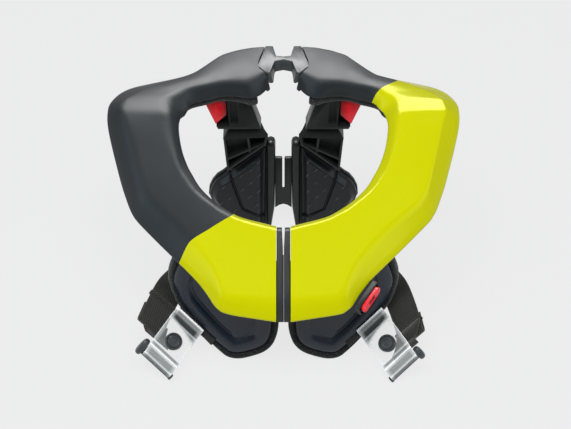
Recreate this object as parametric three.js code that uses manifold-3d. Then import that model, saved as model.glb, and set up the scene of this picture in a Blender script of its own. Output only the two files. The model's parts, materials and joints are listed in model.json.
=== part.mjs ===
// Motocross neck brace: two half collars joined by flexible bridges at the back,
// standing on two chest pads and two shoulder-blade pads.
// Millimetres. x runs to the wearer's left, y to the back, z up.

import * as THREE from 'three';
import { mergeVertices } from 'three/addons/utils/BufferGeometryUtils.js';
import Module from 'manifold-3d';

const wasm = await Module();
wasm.setup();

// Collar
const HALF_WIDTH = 145;
const FRONT_REACH = 108;
const REAR_REACH = 128;
const REAR_HEIGHT = 174;
const SIDE_FALL = 4;
const CROWN = 0.6;
const SHELL_WALL = 3;
const LINER_THICK = 6;
const LINER_SHOW = 4;
const LINER_INSET = 4;
const LOFT_STEPS = 2;
const BEVEL = 2;

// Clearances
const GAP = 0.4;
const SLIDE_GAP = 0.5;
const LINER_GAP = 0.9;

// Front seam
const SEAM_SPLIT = 0.8;
const SEAM_VEE = 1.4;
const SEAM_SINK = 0.6;
const SEAM_DEPTH = 12;
const SEAM_LIP = 5;

// Rear bridge
const BRIDGE_DEPTH = 11;
const BRIDGE_WEB = 4.6;
const BRIDGE_NOTCH = 7.7;
const BRIDGE_NECK = 6.2;
const BRIDGE_LEG = 2.6;
const BRIDGE_LEG_DROP = 14;
const BRIDGE_GROOVE = 0.8;
const BRIDGE_WAIST = 0.55;

// Chest pads
const CHEST_WIDTH = 94;
const CHEST_HEIGHT = 92;
const CHEST_SET = 28;
const CHEST_WRAP = 22;
const CHEST_LEAN = 0.17;
const CHEST_RIM = 4;
const CHEST_PLATE = 3;
const CHEST_RECESS = 1.4;
const CHEST_FOAM = 11;
const CHEST_PANEL = { edge: 0.8, floor: 0.74 };

// Front struts
const STRUT_INNER = 10;
const STRUT_WIDTH = 34;
const STRUT_REACH = 22;
const STRUT_LAP = 22;
const STRUT_TAPER = 0.5;

// Shoulder-blade pads and what carries them
const BLADE_WIDTH = 65;
const BLADE_HEIGHT = 102;
const BLADE_SET = 29;
const WING_WALL = 3.5;
const BLADE_PAD = 10;
const BLADE_BEVEL = 5;
const FLANGE_SHARE = 0.215;
const GROOVE_WIDE = 2.4;
const GROOVE_DEEP = 2;
const NECK_DEPTH = 15;
const BODY_DEPTH = 12;
const RIB_WALL = 2;
const POCKET_DEEP = 9;

// Adjuster blocks and their locks
const BLOCK_DEPTH = 17;
const SLOT_DEEP = 4;
const LOCK_WIDE = 17;
const LOCK_DEPTH = 9;
const LEDGE_THICK = 3;

// Lower bridge
const LOWER_TOP = 74.7;
const LOWER_FOOT = 20.7;
const LOWER_ARCH = 4;
const LOWER_SLIT = 1.8;
const LOWER_SLIT_END = 40.7;

// Straps
const WEB_WIDTH = 25;
const WEB_THICK = 1.8;
const BAND_THICK = 2.2;
const BAND_LENGTH = 46;
const ROLL_RADIUS = 4.2;
const PIN_RADIUS = 2.6;
const PIN_OVERHANG = 4;
const PIN_SIDES = 12;
const STUD_SIDES = 20;
const KNOB_RADIUS = 4;
const STUD_RADIUS = 6.6;
const STUD_FLANGE = 9;
const KEEPER_WIDE = 4;
const KEEPER_WALL = 1.2;
const TAB_THICK = 2;
const TAB_SPAN = { from: -0.55, to: 1, above: 0.15, below: 0.12 };

// Release catch
const CATCH_LENGTH = 28;
const CATCH_HEIGHT = 8;
const CATCH_DEPTH = 5;
const BUTTON_LENGTH = 24;
const BUTTON_HEIGHT = 7.5;
const BUTTON_PROUD = 2.5;
const BUTTON_DISH = 1;
const BUTTON_RECESS = { length: 0.33, height: 0.6 };

// Meshing
const MERGE = 1e-4;
const MITRE = 0.5;
const HALVES = [0, 0.5, 1];
const ARC_STEPS = 5;

const COLOURS = {
  slate: { color: 0x3c444c, roughness: 0.55, metalness: 0 },
  lime: { color: 0xd4da00, roughness: 0.22, metalness: 0 },
  navy: { color: 0x232b38, roughness: 0.4, metalness: 0 },
  nylon: { color: 0x1c1e1f, roughness: 0.5, metalness: 0 },
  foam: { color: 0x17181a, roughness: 0.9, metalness: 0 },
  webbing: { color: 0x1b1b1a, roughness: 0.95, metalness: 0 },
  red: { color: 0xd21a22, roughness: 0.3, metalness: 0 },
  clear: { color: 0xdfe4e2, roughness: 0.12, metalness: 0, transparent: true, opacity: 0.45 },
};

// Side profile of a half collar. y is a share of the front reach when negative and of the
// rear reach when positive, heights are shares of the rear height, and show is a share of
// how far the lining looks out below the rim.
const PROFILE = [
  { y: -1.00, crease: 0.446, rim: 0.400, edge: 0.380, show: 0 },
  { y: -0.38, crease: 0.668, rim: 0.636, edge: 0.568, show: 0 },
  { y: 0.00, crease: 0.807, rim: 0.765, edge: 0.692, show: 0 },
  { y: 0.22, crease: 0.900, rim: 0.849, edge: 0.785, show: 0.3 },
  { y: 0.32, crease: 0.943, rim: 0.883, edge: 0.834, show: 0.8 },
  { y: 0.39, crease: 0.959, rim: 0.890, edge: 0.868, show: 1 },
  { y: 0.47, crease: 0.965, rim: 0.888, edge: 0.893, show: 1 },
  { y: 0.60, crease: 0.971, rim: 0.872, edge: 0.915, show: 1 },
  { y: 1.00, crease: 1.009, rim: 0.896, edge: 0.930, show: 1 },
];

// Sections of a half collar in plan, from the front seam round to the rear bridge.
// x is a share of the half width, y a share as in the side profile. rim is the neck edge,
// in and out are the two creases of the broad face, edge is the outer lip.
const SECTIONS = [
  { rim: [0.040, -0.380], in: [0.040, -0.440], out: [0.040, -0.915], edge: [0.040, -1.000] },
  { rim: [0.245, -0.310], in: [0.250, -0.370], out: [0.295, -0.895], edge: [0.325, -0.945] },
  { rim: [0.290, -0.280], in: [0.300, -0.340], out: [0.340, -0.860], edge: [0.380, -0.890] },
  { rim: [0.335, -0.245], in: [0.350, -0.310], out: [0.370, -0.775], edge: [0.420, -0.805] },
  { rim: [0.385, -0.200], in: [0.400, -0.265], out: [0.410, -0.670], edge: [0.485, -0.695] },
  { rim: [0.460, -0.105], in: [0.487, -0.180], out: [0.565, -0.445], edge: [0.680, -0.450] },
  { rim: [0.509, -0.005], in: [0.545, -0.090], out: [0.760, -0.235], edge: [0.825, -0.265] },
  { rim: [0.531, 0.040], in: [0.577, -0.025], out: [0.800, -0.150], edge: [0.860, -0.190] },
  { rim: [0.561, 0.125], in: [0.608, 0.075], out: [0.825, -0.045], edge: [0.910, -0.020] },
  { rim: [0.580, 0.220], in: [0.632, 0.170], out: [0.865, 0.135], edge: [0.967, 0.195] },
  { rim: [0.586, 0.300], in: [0.645, 0.260], out: [0.893, 0.267], edge: [0.997, 0.340] },
  { rim: [0.579, 0.353], in: [0.652, 0.325], out: [0.925, 0.372], edge: [1.000, 0.425] },
  { rim: [0.566, 0.403], in: [0.648, 0.442], out: [0.905, 0.470], edge: [0.990, 0.508] },
  { rim: [0.540, 0.448], in: [0.583, 0.500], out: [0.815, 0.552], edge: [0.908, 0.628] },
  { rim: [0.512, 0.500], in: [0.522, 0.538], out: [0.700, 0.626], edge: [0.752, 0.697] },
  { rim: [0.422, 0.546], in: [0.421, 0.570], out: [0.517, 0.705], edge: [0.560, 0.770] },
  { rim: [0.354, 0.580], in: [0.352, 0.590], out: [0.426, 0.813], edge: [0.457, 0.870] },
  { rim: [0.268, 0.589], in: [0.267, 0.604], out: [0.361, 0.890], edge: [0.385, 0.940] },
  { rim: [0.193, 0.599], in: [0.204, 0.616], out: [0.277, 0.932], edge: [0.290, 0.983] },
  { rim: [0.136, 0.651], in: [0.152, 0.652], out: [0.190, 0.957], edge: [0.197, 1.000] },
  { rim: [0.081, 0.727], in: [0.099, 0.691], mid: [0.159, 0.763], out: [0.110, 0.963], edge: [0.110, 1.000] },
];

// Chest pad outline in columns: shares of its width and height.
const CHEST_COLUMNS = [
  { x: 0.050, low: 0.36, high: 0.90 },
  { x: 0.069, low: 0.245, high: 0.95 },
  { x: 0.101, low: 0.163, high: 0.975 },
  { x: 0.170, low: 0.092, high: 0.985 },
  { x: 0.280, low: 0.040, high: 0.99 },
  { x: 0.385, low: 0.000, high: 1.00 },
  { x: 0.490, low: 0.000, high: 1.00 },
  { x: 0.565, low: 0.060, high: 1.00 },
  { x: 0.660, low: 0.134, high: 1.00 },
  { x: 0.800, low: 0.277, high: 0.99 },
  { x: 0.925, low: 0.413, high: 0.975 },
  { x: 0.975, low: 0.510, high: 0.95 },
  { x: 1.000, low: 0.640, high: 0.86 },
];

// Shoulder-blade wing outline: shares of its width and height.
const WING_OUTLINE = [
  [0.105, 0.89], [0.120, 0.925], [0.165, 0.94], [0.215, 0.925], [0.750, 0.628], [0.812, 0.590],
  [0.885, 0.556], [0.950, 0.498], [0.995, 0.430], [1.005, 0.360], [0.955, 0.280], [0.800, 0.150],
  [0.640, 0.045], [0.500, 0.000], [0.240, 0.000], [0.170, 0.050], [0.135, 0.280],
];

// The groove across a shoulder-blade pad, and the ribs of the strut's window, in the same shares.
const PAD_GROOVE = [[0.715, 0.655], [0.550, 0.270], [0.265, 0.165]];
const STRUT_RIBS = [
  [[0.470, 1.06], [0.425, 0.800]],
  [[0.740, 0.800], [0.190, 0.985]],
];
const STRUT_BODY = [[0.200, 1.065], [0.790, 1.035], [0.745, 0.680], [0.230, 0.955]];
const WING_LAP = 0.08;
const STRUT_NECK = [[0.290, 1.15], [0.675, 1.15], [0.790, 1.035], [0.200, 1.055]];

// Front face of an adjuster block: x as a share of the wing width, z as a share from its foot
// to its top.
const BLOCK_FACE = [[0.290, 0], [0.700, 0], [0.730, 0.5], [0.730, 1], [0.540, 1], [0.430, 0.52]];
const BLOCK_SLOT = [[0.585, 0.10], [0.690, 0.10], [0.690, 0.48], [0.585, 0.48]];
const LEDGE_LAP = 0.010;
const LEDGE_END = 0.850;
const LOCK_FACE = [[0, 0.62], [0, 0.25], [0.55, 0.08], [1, 0.42], [1, 0.62]];
const LOCK_WALL = [[-0.08, 0], [0.56, 0], [0.80, 0.34], [0.80, 0.62], [-0.08, 0.62]];

// Strap routes on the wearer's left, chosen by eye: x and z are shares of the chest pad's width
// and height, and ahead is how far, in millimetres, a place stands before the pad's face. The
// webbing's rows give its outer edge, and behind marks those that lie on the foam's back.
const WEB_ROUTE = [
  { x: 0.851, z: 0.870, behind: true },
  { x: 0.989, z: 0.674, behind: true },
  { x: 1.106, z: 0.489, behind: true },
  { x: 1.170, z: 0.402, ahead: 0.3 },
  { x: 1.234, z: 0.304, ahead: 18.8 },
];
const WEB_ACROSS = new THREE.Vector3(-0.74, -0.28, -0.61);
const BAND_ROOT = [{ x: 0.670, z: 0.228, ahead: 4 }, { x: 0.894, z: 0.413, ahead: 4.5 }];
const BAND_DOWN = new THREE.Vector3(0.545, -0.757, -0.352).normalize();
const STUD_PLACE = [0.5, 0.48];
const KEEPER_PLACE = { left: 0.87, right: 0.64 };
const CATCH_PLACE = { from: 2, to: 4, out: 1.2, down: 3.5 };

// Helpers on plain values

const along = (share) => share * (share < 0 ? FRONT_REACH : REAR_REACH);
const point = (x, y, z) => new THREE.Vector3(x, y, z);
const mix = (a, b, t) => a.clone().lerp(b, t);

function profileAt(y, name) {
  const rows = PROFILE.map((row) => ({ y: along(row.y), value: row[name] }));
  let k = rows.findIndex((row) => row.y >= y);
  k = THREE.MathUtils.clamp(k < 0 ? rows.length - 1 : k, 1, rows.length - 1);
  const [a, b] = [rows[k - 1], rows[k]];
  return a.value + (b.value - a.value) * (y - a.y) / (b.y - a.y);
}

const heightAt = (y, name) => REAR_HEIGHT * profileAt(y, name);

// Closed bodies

function closedBody(positions, triangles) {
  let volume = 0;
  const [a, b, c] = [point(), point(), point()];
  for (const [i, j, k] of triangles) {
    volume += a.copy(positions[i]).dot(b.copy(positions[j]).cross(c.copy(positions[k])));
  }
  const faces = volume < 0 ? triangles.map(([i, j, k]) => [i, k, j]) : triangles;
  const geometry = new THREE.BufferGeometry().setFromPoints(positions);
  geometry.setIndex(faces.flat());
  return geometry;
}

function quad(a, b, c, d) {
  return [[a, b, c], [a, c, d]];
}

// A thick sheet between two grids of points, rows along it and columns across it.
function sheet(top, bottom) {
  const rows = top.length;
  const columns = top[0].length;
  const positions = [...top.flat(), ...bottom.flat()];
  const at = (side, i, j) => side * rows * columns + i * columns + j;
  const triangles = [];
  for (let i = 0; i < rows - 1; i++) {
    for (let j = 0; j < columns - 1; j++) {
      triangles.push(...quad(at(0, i, j), at(0, i + 1, j), at(0, i + 1, j + 1), at(0, i, j + 1)));
      triangles.push(...quad(at(1, i, j), at(1, i, j + 1), at(1, i + 1, j + 1), at(1, i + 1, j)));
    }
    triangles.push(...quad(at(0, i, 0), at(1, i, 0), at(1, i + 1, 0), at(0, i + 1, 0)));
    const last = columns - 1;
    triangles.push(...quad(at(0, i, last), at(0, i + 1, last), at(1, i + 1, last), at(1, i, last)));
  }
  for (let j = 0; j < columns - 1; j++) {
    triangles.push(...quad(at(0, 0, j), at(0, 0, j + 1), at(1, 0, j + 1), at(1, 0, j)));
    const end = rows - 1;
    triangles.push(...quad(at(0, end, j), at(1, end, j), at(1, end, j + 1), at(0, end, j + 1)));
  }
  return closedBody(positions, triangles);
}

// Rings of equal length joined one after another. The caps run between the first half of a
// ring and its second half when ladder is set, and are ear-cut otherwise.
function stack(rings, flat, ladder = false) {
  const count = rings[0].length;
  const positions = rings.flat();
  const triangles = [];
  for (let r = 0; r < rings.length - 1; r++) {
    for (let i = 0; i < count; i++) {
      const [here, next] = [r * count + i, r * count + (i + 1) % count];
      triangles.push(...quad(here, next, next + count, here + count));
    }
  }
  const cap = ladder ? ladderCap(count) : THREE.ShapeUtils.triangulateShape(flat, []);
  const facing = cap.map(([a, b, c]) => [b, a, c]);
  const swapped = !ladder && THREE.ShapeUtils.area(flat) < 0;
  const [first, last] = swapped ? [cap, facing] : [facing, cap];
  const end = (rings.length - 1) * count;
  triangles.push(...first, ...last.map((corners) => corners.map((v) => v + end)));
  return closedBody(positions, triangles);
}

function ladderCap(count) {
  const half = count / 2;
  const triangles = [];
  for (let i = 0; i < half - 1; i++) {
    triangles.push(...quad(i, i + 1, count - 2 - i, count - 1 - i));
  }
  return triangles;
}

// A flat outline pushed through in y.
function plate(outline, front, back) {
  const shape = new THREE.Shape(outline.map(([x, z]) => new THREE.Vector2(x, z)));
  const geometry = new THREE.ExtrudeGeometry(shape, { depth: back - front, bevelEnabled: false });
  return geometry.rotateX(Math.PI / 2).translate(0, back, 0);
}

// A bar of even width along a line in x and z, pushed through in y.
function bar([x1, z1], [x2, z2], width, front, back) {
  const geometry = new THREE.BoxGeometry(Math.hypot(x2 - x1, z2 - z1), back - front, width);
  geometry.rotateY(-Math.atan2(z2 - z1, x2 - x1));
  return geometry.translate((x1 + x2) / 2, (front + back) / 2, (z1 + z2) / 2);
}

// An outline moved inwards by an even distance.
function inset(outline, distance) {
  const turn = THREE.ShapeUtils.area(outline.map(([x, y]) => ({ x, y }))) > 0 ? 1 : -1;
  const count = outline.length;
  return outline.map(([x, y], i) => {
    const before = outline[(i + count - 1) % count];
    const after = outline[(i + 1) % count];
    const a = new THREE.Vector2(x - before[0], y - before[1]).normalize();
    const b = new THREE.Vector2(after[0] - x, after[1] - y).normalize();
    const normal = new THREE.Vector2(-a.y - b.y, a.x + b.x).normalize();
    const reach = distance * turn / Math.max(MITRE, -a.y * normal.x + a.x * normal.y);
    return [x + normal.x * reach, y + normal.y * reach];
  });
}

function shrink(outline, share) {
  const centre = outline.reduce((sum, [x, y]) => [sum[0] + x, sum[1] + y], [0, 0]);
  const [cx, cy] = centre.map((value) => value / outline.length);
  return outline.map(([x, y]) => [cx + (x - cx) * share, cy + (y - cy) * share]);
}

// Joins and cuts

function toSolid(geometry) {
  const bare = geometry.clone();
  bare.deleteAttribute('normal');
  bare.deleteAttribute('uv');
  const merged = mergeVertices(bare, MERGE);
  return new wasm.Manifold(new wasm.Mesh({
    numProp: 3,
    vertProperties: new Float32Array(merged.attributes.position.array),
    triVerts: new Uint32Array(merged.index.array),
  }));
}

function toGeometry(solid) {
  const mesh = solid.getMesh();
  const geometry = new THREE.BufferGeometry();
  geometry.setAttribute('position', new THREE.BufferAttribute(mesh.vertProperties, 3));
  geometry.setIndex(new THREE.BufferAttribute(mesh.triVerts, 1));
  return geometry;
}

function joined(...geometries) {
  return toGeometry(geometries.map(toSolid).reduce((sum, solid) => sum.add(solid)));
}

// What a cut leaves of the main body, without the crumbs at its rim.
function cut(geometry, ...cutters) {
  const rest = cutters.map(toSolid).reduce((left, cutter) => left.subtract(cutter), toSolid(geometry));
  const pieces = rest.decompose().sort((a, b) => b.volume() - a.volume());
  return toGeometry(pieces[0]);
}

function common(a, b) {
  return toGeometry(toSolid(a).intersect(toSolid(b)));
}

function mirrored(geometry) {
  const copy = geometry.clone();
  copy.deleteAttribute('normal');
  copy.deleteAttribute('uv');
  const whole = copy.index ? copy : mergeVertices(copy, MERGE);
  whole.scale(-1, 1, 1);
  const index = whole.index.array;
  for (let i = 0; i < index.length; i += 3) {
    [index[i + 1], index[i + 2]] = [index[i + 2], index[i + 1]];
  }
  return whole;
}

// Half collar

function collarPoint([x, y], name) {
  const px = x * HALF_WIDTH;
  const py = along(y);
  return point(px, py, heightAt(py, name));
}

function collarSection(row) {
  const rim = collarPoint(row.rim, 'rim');
  const inner = collarPoint(row.in, 'crease');
  const outer = collarPoint(row.out, 'crease');
  outer.z -= SIDE_FALL * row.out[0];
  const mid = row.mid ? collarPoint(row.mid, 'crease') : mix(inner, outer, 0.5).add(point(0, 0, CROWN));
  return [rim, inner, mid, outer, collarPoint(row.edge, 'edge')];
}

// The neck side runs in smooth curves, the outer side in straight facets.
function collarGrid() {
  const keys = SECTIONS.map(collarSection);
  const smooth = [0, 1].map((j) => new THREE.CatmullRomCurve3(keys.map((key) => key[j])));
  const last = keys.length - 1;
  const grid = [];
  for (let k = 0; k <= last * LOFT_STEPS; k++) {
    const row = Math.min(Math.floor(k / LOFT_STEPS), last - 1);
    const t = k / LOFT_STEPS - row;
    grid.push(keys[row].map((p, j) => {
      if (j < smooth.length) return smooth[j].getPoint(k / (last * LOFT_STEPS));
      return mix(p, keys[row + 1][j], t);
    }));
  }
  return grid;
}

function collarNormals(grid) {
  return grid.map((row, i) => {
    const before = grid[Math.max(i - 1, 0)];
    const after = grid[Math.min(i + 1, grid.length - 1)];
    const travel = row.reduce((sum, _, j) => sum.add(after[j]).sub(before[j]), point());
    if (i === grid.length - 1) return row.map(() => point(0, 0, 1));
    return row.map((_, j) => {
      const across = row[Math.min(j + 1, row.length - 1)].clone().sub(row[Math.max(j - 1, 0)]);
      const normal = across.cross(travel);
      if (i === 0) normal.x = 0;
      return normal.normalize();
    });
  });
}

const COLLAR = collarGrid();
const NORMALS = collarNormals(COLLAR);

function sunk(grid, depth) {
  return grid.map((row, i) => row.map((p, j) => p.clone().addScaledVector(NORMALS[i][j], -depth)));
}

// The lining follows the shell, looks out below the rim at the back and stops short of the lip
// and of the last section.
function linerGrid(longer = 0) {
  return COLLAR.slice(0, -LOFT_STEPS).map((row) => {
    const show = LINER_SHOW * profileAt(row[0].y, 'show') + longer;
    const down = row[0].clone().sub(row[1]).normalize();
    const back = row[3].clone().sub(row[4]).normalize();
    const rim = row[0].clone().addScaledVector(down, show);
    return [rim, row[1], row[2], row[3], row[4].clone().addScaledVector(back, LINER_INSET)];
  });
}

function linerBody() {
  const grid = linerGrid();
  const top = SHELL_WALL + LINER_GAP;
  return sheet(sunk(grid, top), sunk(grid, top + LINER_THICK));
}

// All that lies above the underside of the lining, for cutting what comes up to it.
function aboveLiner(clearance) {
  const depth = SHELL_WALL + LINER_GAP + LINER_THICK + clearance;
  const under = sunk(linerGrid(clearance), depth).map((row, i) => {
    return [row[0].clone().addScaledVector(NORMALS[i][0], depth + LINER_THICK), ...row];
  });
  const over = under.map((row) => row.map((p) => p.clone().add(point(0, 0, REAR_HEIGHT / 2))));
  return sheet(over, under);
}

// The black edge strip of a half collar at the front, which meets its twin at the seam.
function seamStrip() {
  const outerX = COLLAR[0][0].x - GAP;
  const section = COLLAR[0];
  const grid = (depth) => section.map((p, j) => {
    const innerX = (SEAM_SPLIT + (j < 2 ? SEAM_VEE : 0)) / 2;
    const atEnd = j === 0 || j === section.length - 1;
    const { y, z } = p.clone().addScaledVector(NORMALS[0][j], -Math.min(depth, atEnd ? SEAM_LIP : depth));
    return [point(outerX, y, z), point(innerX, y, z)];
  });
  return sheet(grid(SEAM_SINK), grid(SEAM_DEPTH));
}

// Rear bridge: two wings between the ends of the half collars, joined by a web

function rearBridge() {
  const [rim, inner, mid, outer] = COLLAR[COLLAR.length - 1];
  const webBack = mid.y + BRIDGE_NOTCH + BRIDGE_WEB;
  const webFront = mid.y + BRIDGE_NOTCH;
  const leg = (p, aside, behind) => [p.x - BRIDGE_GROOVE - aside, p.y + behind];
  const half = [
    { top: [0, webBack] },
    { top: [BRIDGE_NECK, webBack + BEVEL / 2] },
    { top: [outer.x * BRIDGE_WAIST, outer.y] },
    { top: leg(outer, 0, 0) },
    { top: leg(mid, 0, 0) },
    { top: leg(inner, 0, 0), low: leg(rim, 0, 0), drop: BRIDGE_LEG_DROP },
    { top: leg(inner, BRIDGE_LEG, BEVEL / 2), low: leg(rim, BRIDGE_LEG, BEVEL / 2), drop: BRIDGE_LEG_DROP },
    { top: [BRIDGE_NECK + BEVEL / 2, webFront - BEVEL] },
    { top: [0, webFront] },
  ];
  const flip = ({ top, low = top, drop }) => ({ top: [-top[0], top[1]], low: [-low[0], low[1]], drop });
  const outline = [...half, ...half.slice(1, -1).reverse().map(flip)];
  const upper = outline.map(({ top: [x, y] }) => point(x, y, heightAt(y, 'crease')));
  const lower = outline.map(({ top, low: [x, y] = top, drop = BRIDGE_DEPTH }) => {
    return point(x, y, heightAt(top[1], 'crease') - drop);
  });
  const flat = upper.map(({ x, y }) => new THREE.Vector2(x, y));
  const halfFace = besideBridge();
  return cut(stack([upper, lower], flat), halfFace, mirrored(halfFace));
}

// The broad face of a half collar drawn up and down, one groove nearer the middle.
function besideBridge() {
  const moved = (lift) => COLLAR.map((row) => row.slice(1).map((p) => {
    return p.clone().add(point(-BRIDGE_GROOVE, 0, lift));
  }));
  return sheet(moved(BRIDGE_DEPTH), moved(-SHELL_WALL * 2));
}

// Chest pads

const chestFace = (x, z) => {
  return CHEST_SET - FRONT_REACH + CHEST_WRAP * (x / CHEST_WIDTH) ** 2 + CHEST_LEAN * z;
};

function chestOutline() {
  const low = CHEST_COLUMNS.map((row) => [row.x * CHEST_WIDTH, row.low * CHEST_HEIGHT]);
  const high = CHEST_COLUMNS.map((row) => [row.x * CHEST_WIDTH, row.high * CHEST_HEIGHT]);
  return [...low, ...high.reverse()];
}

function chestStack(layers) {
  const rings = layers.map(({ outline, depth }) => {
    return outline.map(([x, z]) => point(x, chestFace(x, z) + depth, z));
  });
  const flat = layers[0].outline.map(([x, z]) => new THREE.Vector2(x, z));
  return cut(stack(rings, flat, true), aboveLiner(GAP));
}

function chestPlate() {
  const outline = chestOutline();
  const border = inset(outline, CHEST_RIM + BEVEL);
  return chestStack([
    { outline: inset(outline, CHEST_RIM), depth: CHEST_PLATE },
    { outline: inset(outline, CHEST_RIM), depth: BEVEL / 2 },
    { outline: border, depth: 0 },
    { outline: shrink(border, CHEST_PANEL.edge), depth: 0 },
    { outline: shrink(border, CHEST_PANEL.floor), depth: CHEST_RECESS },
  ]);
}

function chestFoam() {
  const outline = chestOutline();
  const front = CHEST_PLATE + GAP;
  return chestStack([
    { outline: inset(outline, BEVEL / 2), depth: front },
    { outline, depth: front + BEVEL },
    { outline, depth: front + CHEST_FOAM - BEVEL },
    { outline: inset(outline, BEVEL), depth: front + CHEST_FOAM },
  ]);
}

// Strut from the lining down in front of the chest plate.
function frontStrut() {
  const columns = HALVES.map((t) => STRUT_INNER + STRUT_WIDTH * t);
  const foot = { z: CHEST_HEIGHT - STRUT_LAP, taper: STRUT_TAPER };
  const head = { z: heightAt(chestFace(STRUT_INNER, CHEST_HEIGHT), 'crease'), taper: 1 };
  const side = (reach) => columns.map((x) => [foot, head].map(({ z, taper }) => {
    return point(x, chestFace(x, z) - GAP - reach * taper, z);
  }));
  return cut(sheet(side(0), side(STRUT_REACH)), aboveLiner(GAP));
}

// Shoulder-blade wings

const BLADE_Y = REAR_REACH - BLADE_SET;
const wingPoint = ([x, z]) => [x * BLADE_WIDTH, z * BLADE_HEIGHT];

// One moulding: the wing behind the pad, the ribbed window above it and the neck.
function rearStrut() {
  const front = BLADE_Y - BODY_DEPTH;
  const back = BLADE_Y + WING_WALL;
  const body = STRUT_BODY.map(wingPoint);
  const pocket = plate(inset(body, RIB_WALL), front - GAP, front + POCKET_DEEP);
  const ribs = STRUT_RIBS.map((ends) => {
    const [from, to] = ends.map(wingPoint);
    return bar(from, to, RIB_WALL, front + RIB_WALL / 2, front + POCKET_DEEP + RIB_WALL / 2);
  });
  const grown = plate(inset(body, RIB_WALL / 2), front, back);
  const hollow = cut(plate(body, front, back), pocket);
  const neck = plate(STRUT_NECK.map(wingPoint), BLADE_Y - NECK_DEPTH, back);
  const lap = STRUT_BODY.map(([x, z], i) => wingPoint([x, i < 2 ? z : z - WING_LAP]));
  const wing = joined(plate(WING_OUTLINE.map(wingPoint), BLADE_Y, back), plate(lap, BLADE_Y, back));
  return joined(wing, hollow, neck, ...ribs.map((rib) => common(rib, grown)));
}

function bladePad() {
  const outline = WING_OUTLINE.filter(([x]) => x >= FLANGE_SHARE).map(wingPoint);
  const edge = inset(outline, BEVEL / 2);
  const raised = shrink(edge, 1 - 2 * BLADE_BEVEL / BLADE_WIDTH);
  const back = BLADE_Y - GAP;
  const front = back - BLADE_PAD;
  const ring = (shape, y) => shape.map(([x, z]) => point(x, y, z));
  const flat = edge.map(([x, z]) => new THREE.Vector2(x, z));
  const pad = stack([ring(edge, back), ring(edge, front + BLADE_BEVEL), ring(raised, front)], flat);
  const groove = PAD_GROOVE.map(wingPoint);
  const cutters = groove.slice(1).map((end, i) => {
    return bar(groove[i], end, GROOVE_WIDE, front - GAP, front + GROOVE_DEEP);
  });
  return cut(pad, ...cutters);
}

// Adjuster blocks

const BLOCK_FOOT = BLADE_HEIGHT * STRUT_NECK[0][1] + GAP;
const BLOCK_FRONT = BLADE_Y - BLOCK_DEPTH;

function blockPoint([x, share]) {
  return [x * BLADE_WIDTH, BLOCK_FOOT + (REAR_HEIGHT - BLOCK_FOOT) * share];
}

function adjusterBlock() {
  const [inner, outer] = [BLOCK_FACE[1][0] - LEDGE_LAP, LEDGE_END].map((share) => share * BLADE_WIDTH);
  const top = BLOCK_FOOT + LEDGE_THICK;
  const shelf = [[inner, BLOCK_FOOT], [outer, BLOCK_FOOT], [outer + LEDGE_THICK / 2, top], [inner, top]];
  const block = joined(
    plate(BLOCK_FACE.map(blockPoint), BLOCK_FRONT, BLADE_Y),
    plate(shelf, BLOCK_FRONT, BLOCK_FRONT + LOCK_DEPTH + BEVEL),
    plate(LOCK_WALL.map(lockPoint), BLOCK_FRONT + BEVEL / 2 + LOCK_DEPTH + SLIDE_GAP, BLADE_Y),
  );
  const slot = plate(BLOCK_SLOT.map(blockPoint), BLOCK_FRONT - GAP, BLOCK_FRONT + SLOT_DEEP);
  return cut(block, slot, aboveLiner(GAP));
}

// A place on the lock's face and on the wall behind it.
function lockPoint([x, share]) {
  return [BLOCK_FACE[3][0] * BLADE_WIDTH + SLIDE_GAP + x * LOCK_WIDE, blockPoint([0, share])[1]];
}

function adjusterLock() {
  const foot = BLOCK_FOOT + LEDGE_THICK + SLIDE_GAP;
  const front = BLOCK_FRONT + BEVEL / 2;
  const face = LOCK_FACE.map(lockPoint).map(([x, z]) => [x, Math.max(z, foot)]);
  return cut(plate(face, front, front + LOCK_DEPTH), aboveLiner(SLIDE_GAP));
}

// Lower bridge between the two wings, slit from above.
function lowerBridge() {
  const reach = WING_OUTLINE[0][0] * BLADE_WIDTH - GAP;
  const slit = LOWER_SLIT / 2;
  const arch = (x) => [x, LOWER_FOOT + LOWER_ARCH * (1 - (x / reach) ** 2)];
  const half = [
    [slit, LOWER_SLIT_END + slit], [slit, LOWER_TOP - slit], [slit * 2, LOWER_TOP], [reach, LOWER_TOP],
    arch(reach), arch(reach / 2),
  ];
  const other = half.map(([x, z]) => [-x, z]).reverse();
  const outline = [[0, LOWER_SLIT_END], ...half, arch(0), ...other];
  return plate(outline, BLADE_Y, BLADE_Y + WING_WALL);
}

// Straps

const strapFace = (x, z) => chestFace(Math.min(x, CHEST_WIDTH), z);
const WEB_BACK = CHEST_PLATE + CHEST_FOAM + WEB_THICK + GAP * 2;

function webRows(lift) {
  const across = WEB_ACROSS.clone().normalize();
  return WEB_ROUTE.map((stop) => HALVES.map((t) => {
    const edge = [stop.x * CHEST_WIDTH, stop.z * CHEST_HEIGHT];
    const x = edge[0] + across.x * WEB_WIDTH * t;
    const z = edge[1] + across.z * WEB_WIDTH * t;
    const free = strapFace(...edge) - stop.ahead + across.y * WEB_WIDTH * t;
    return point(x, (stop.behind ? strapFace(x, z) + WEB_BACK : free) + lift, z);
  }));
}

const strapWebbing = () => sheet(webRows(0), webRows(WEB_THICK));

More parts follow.
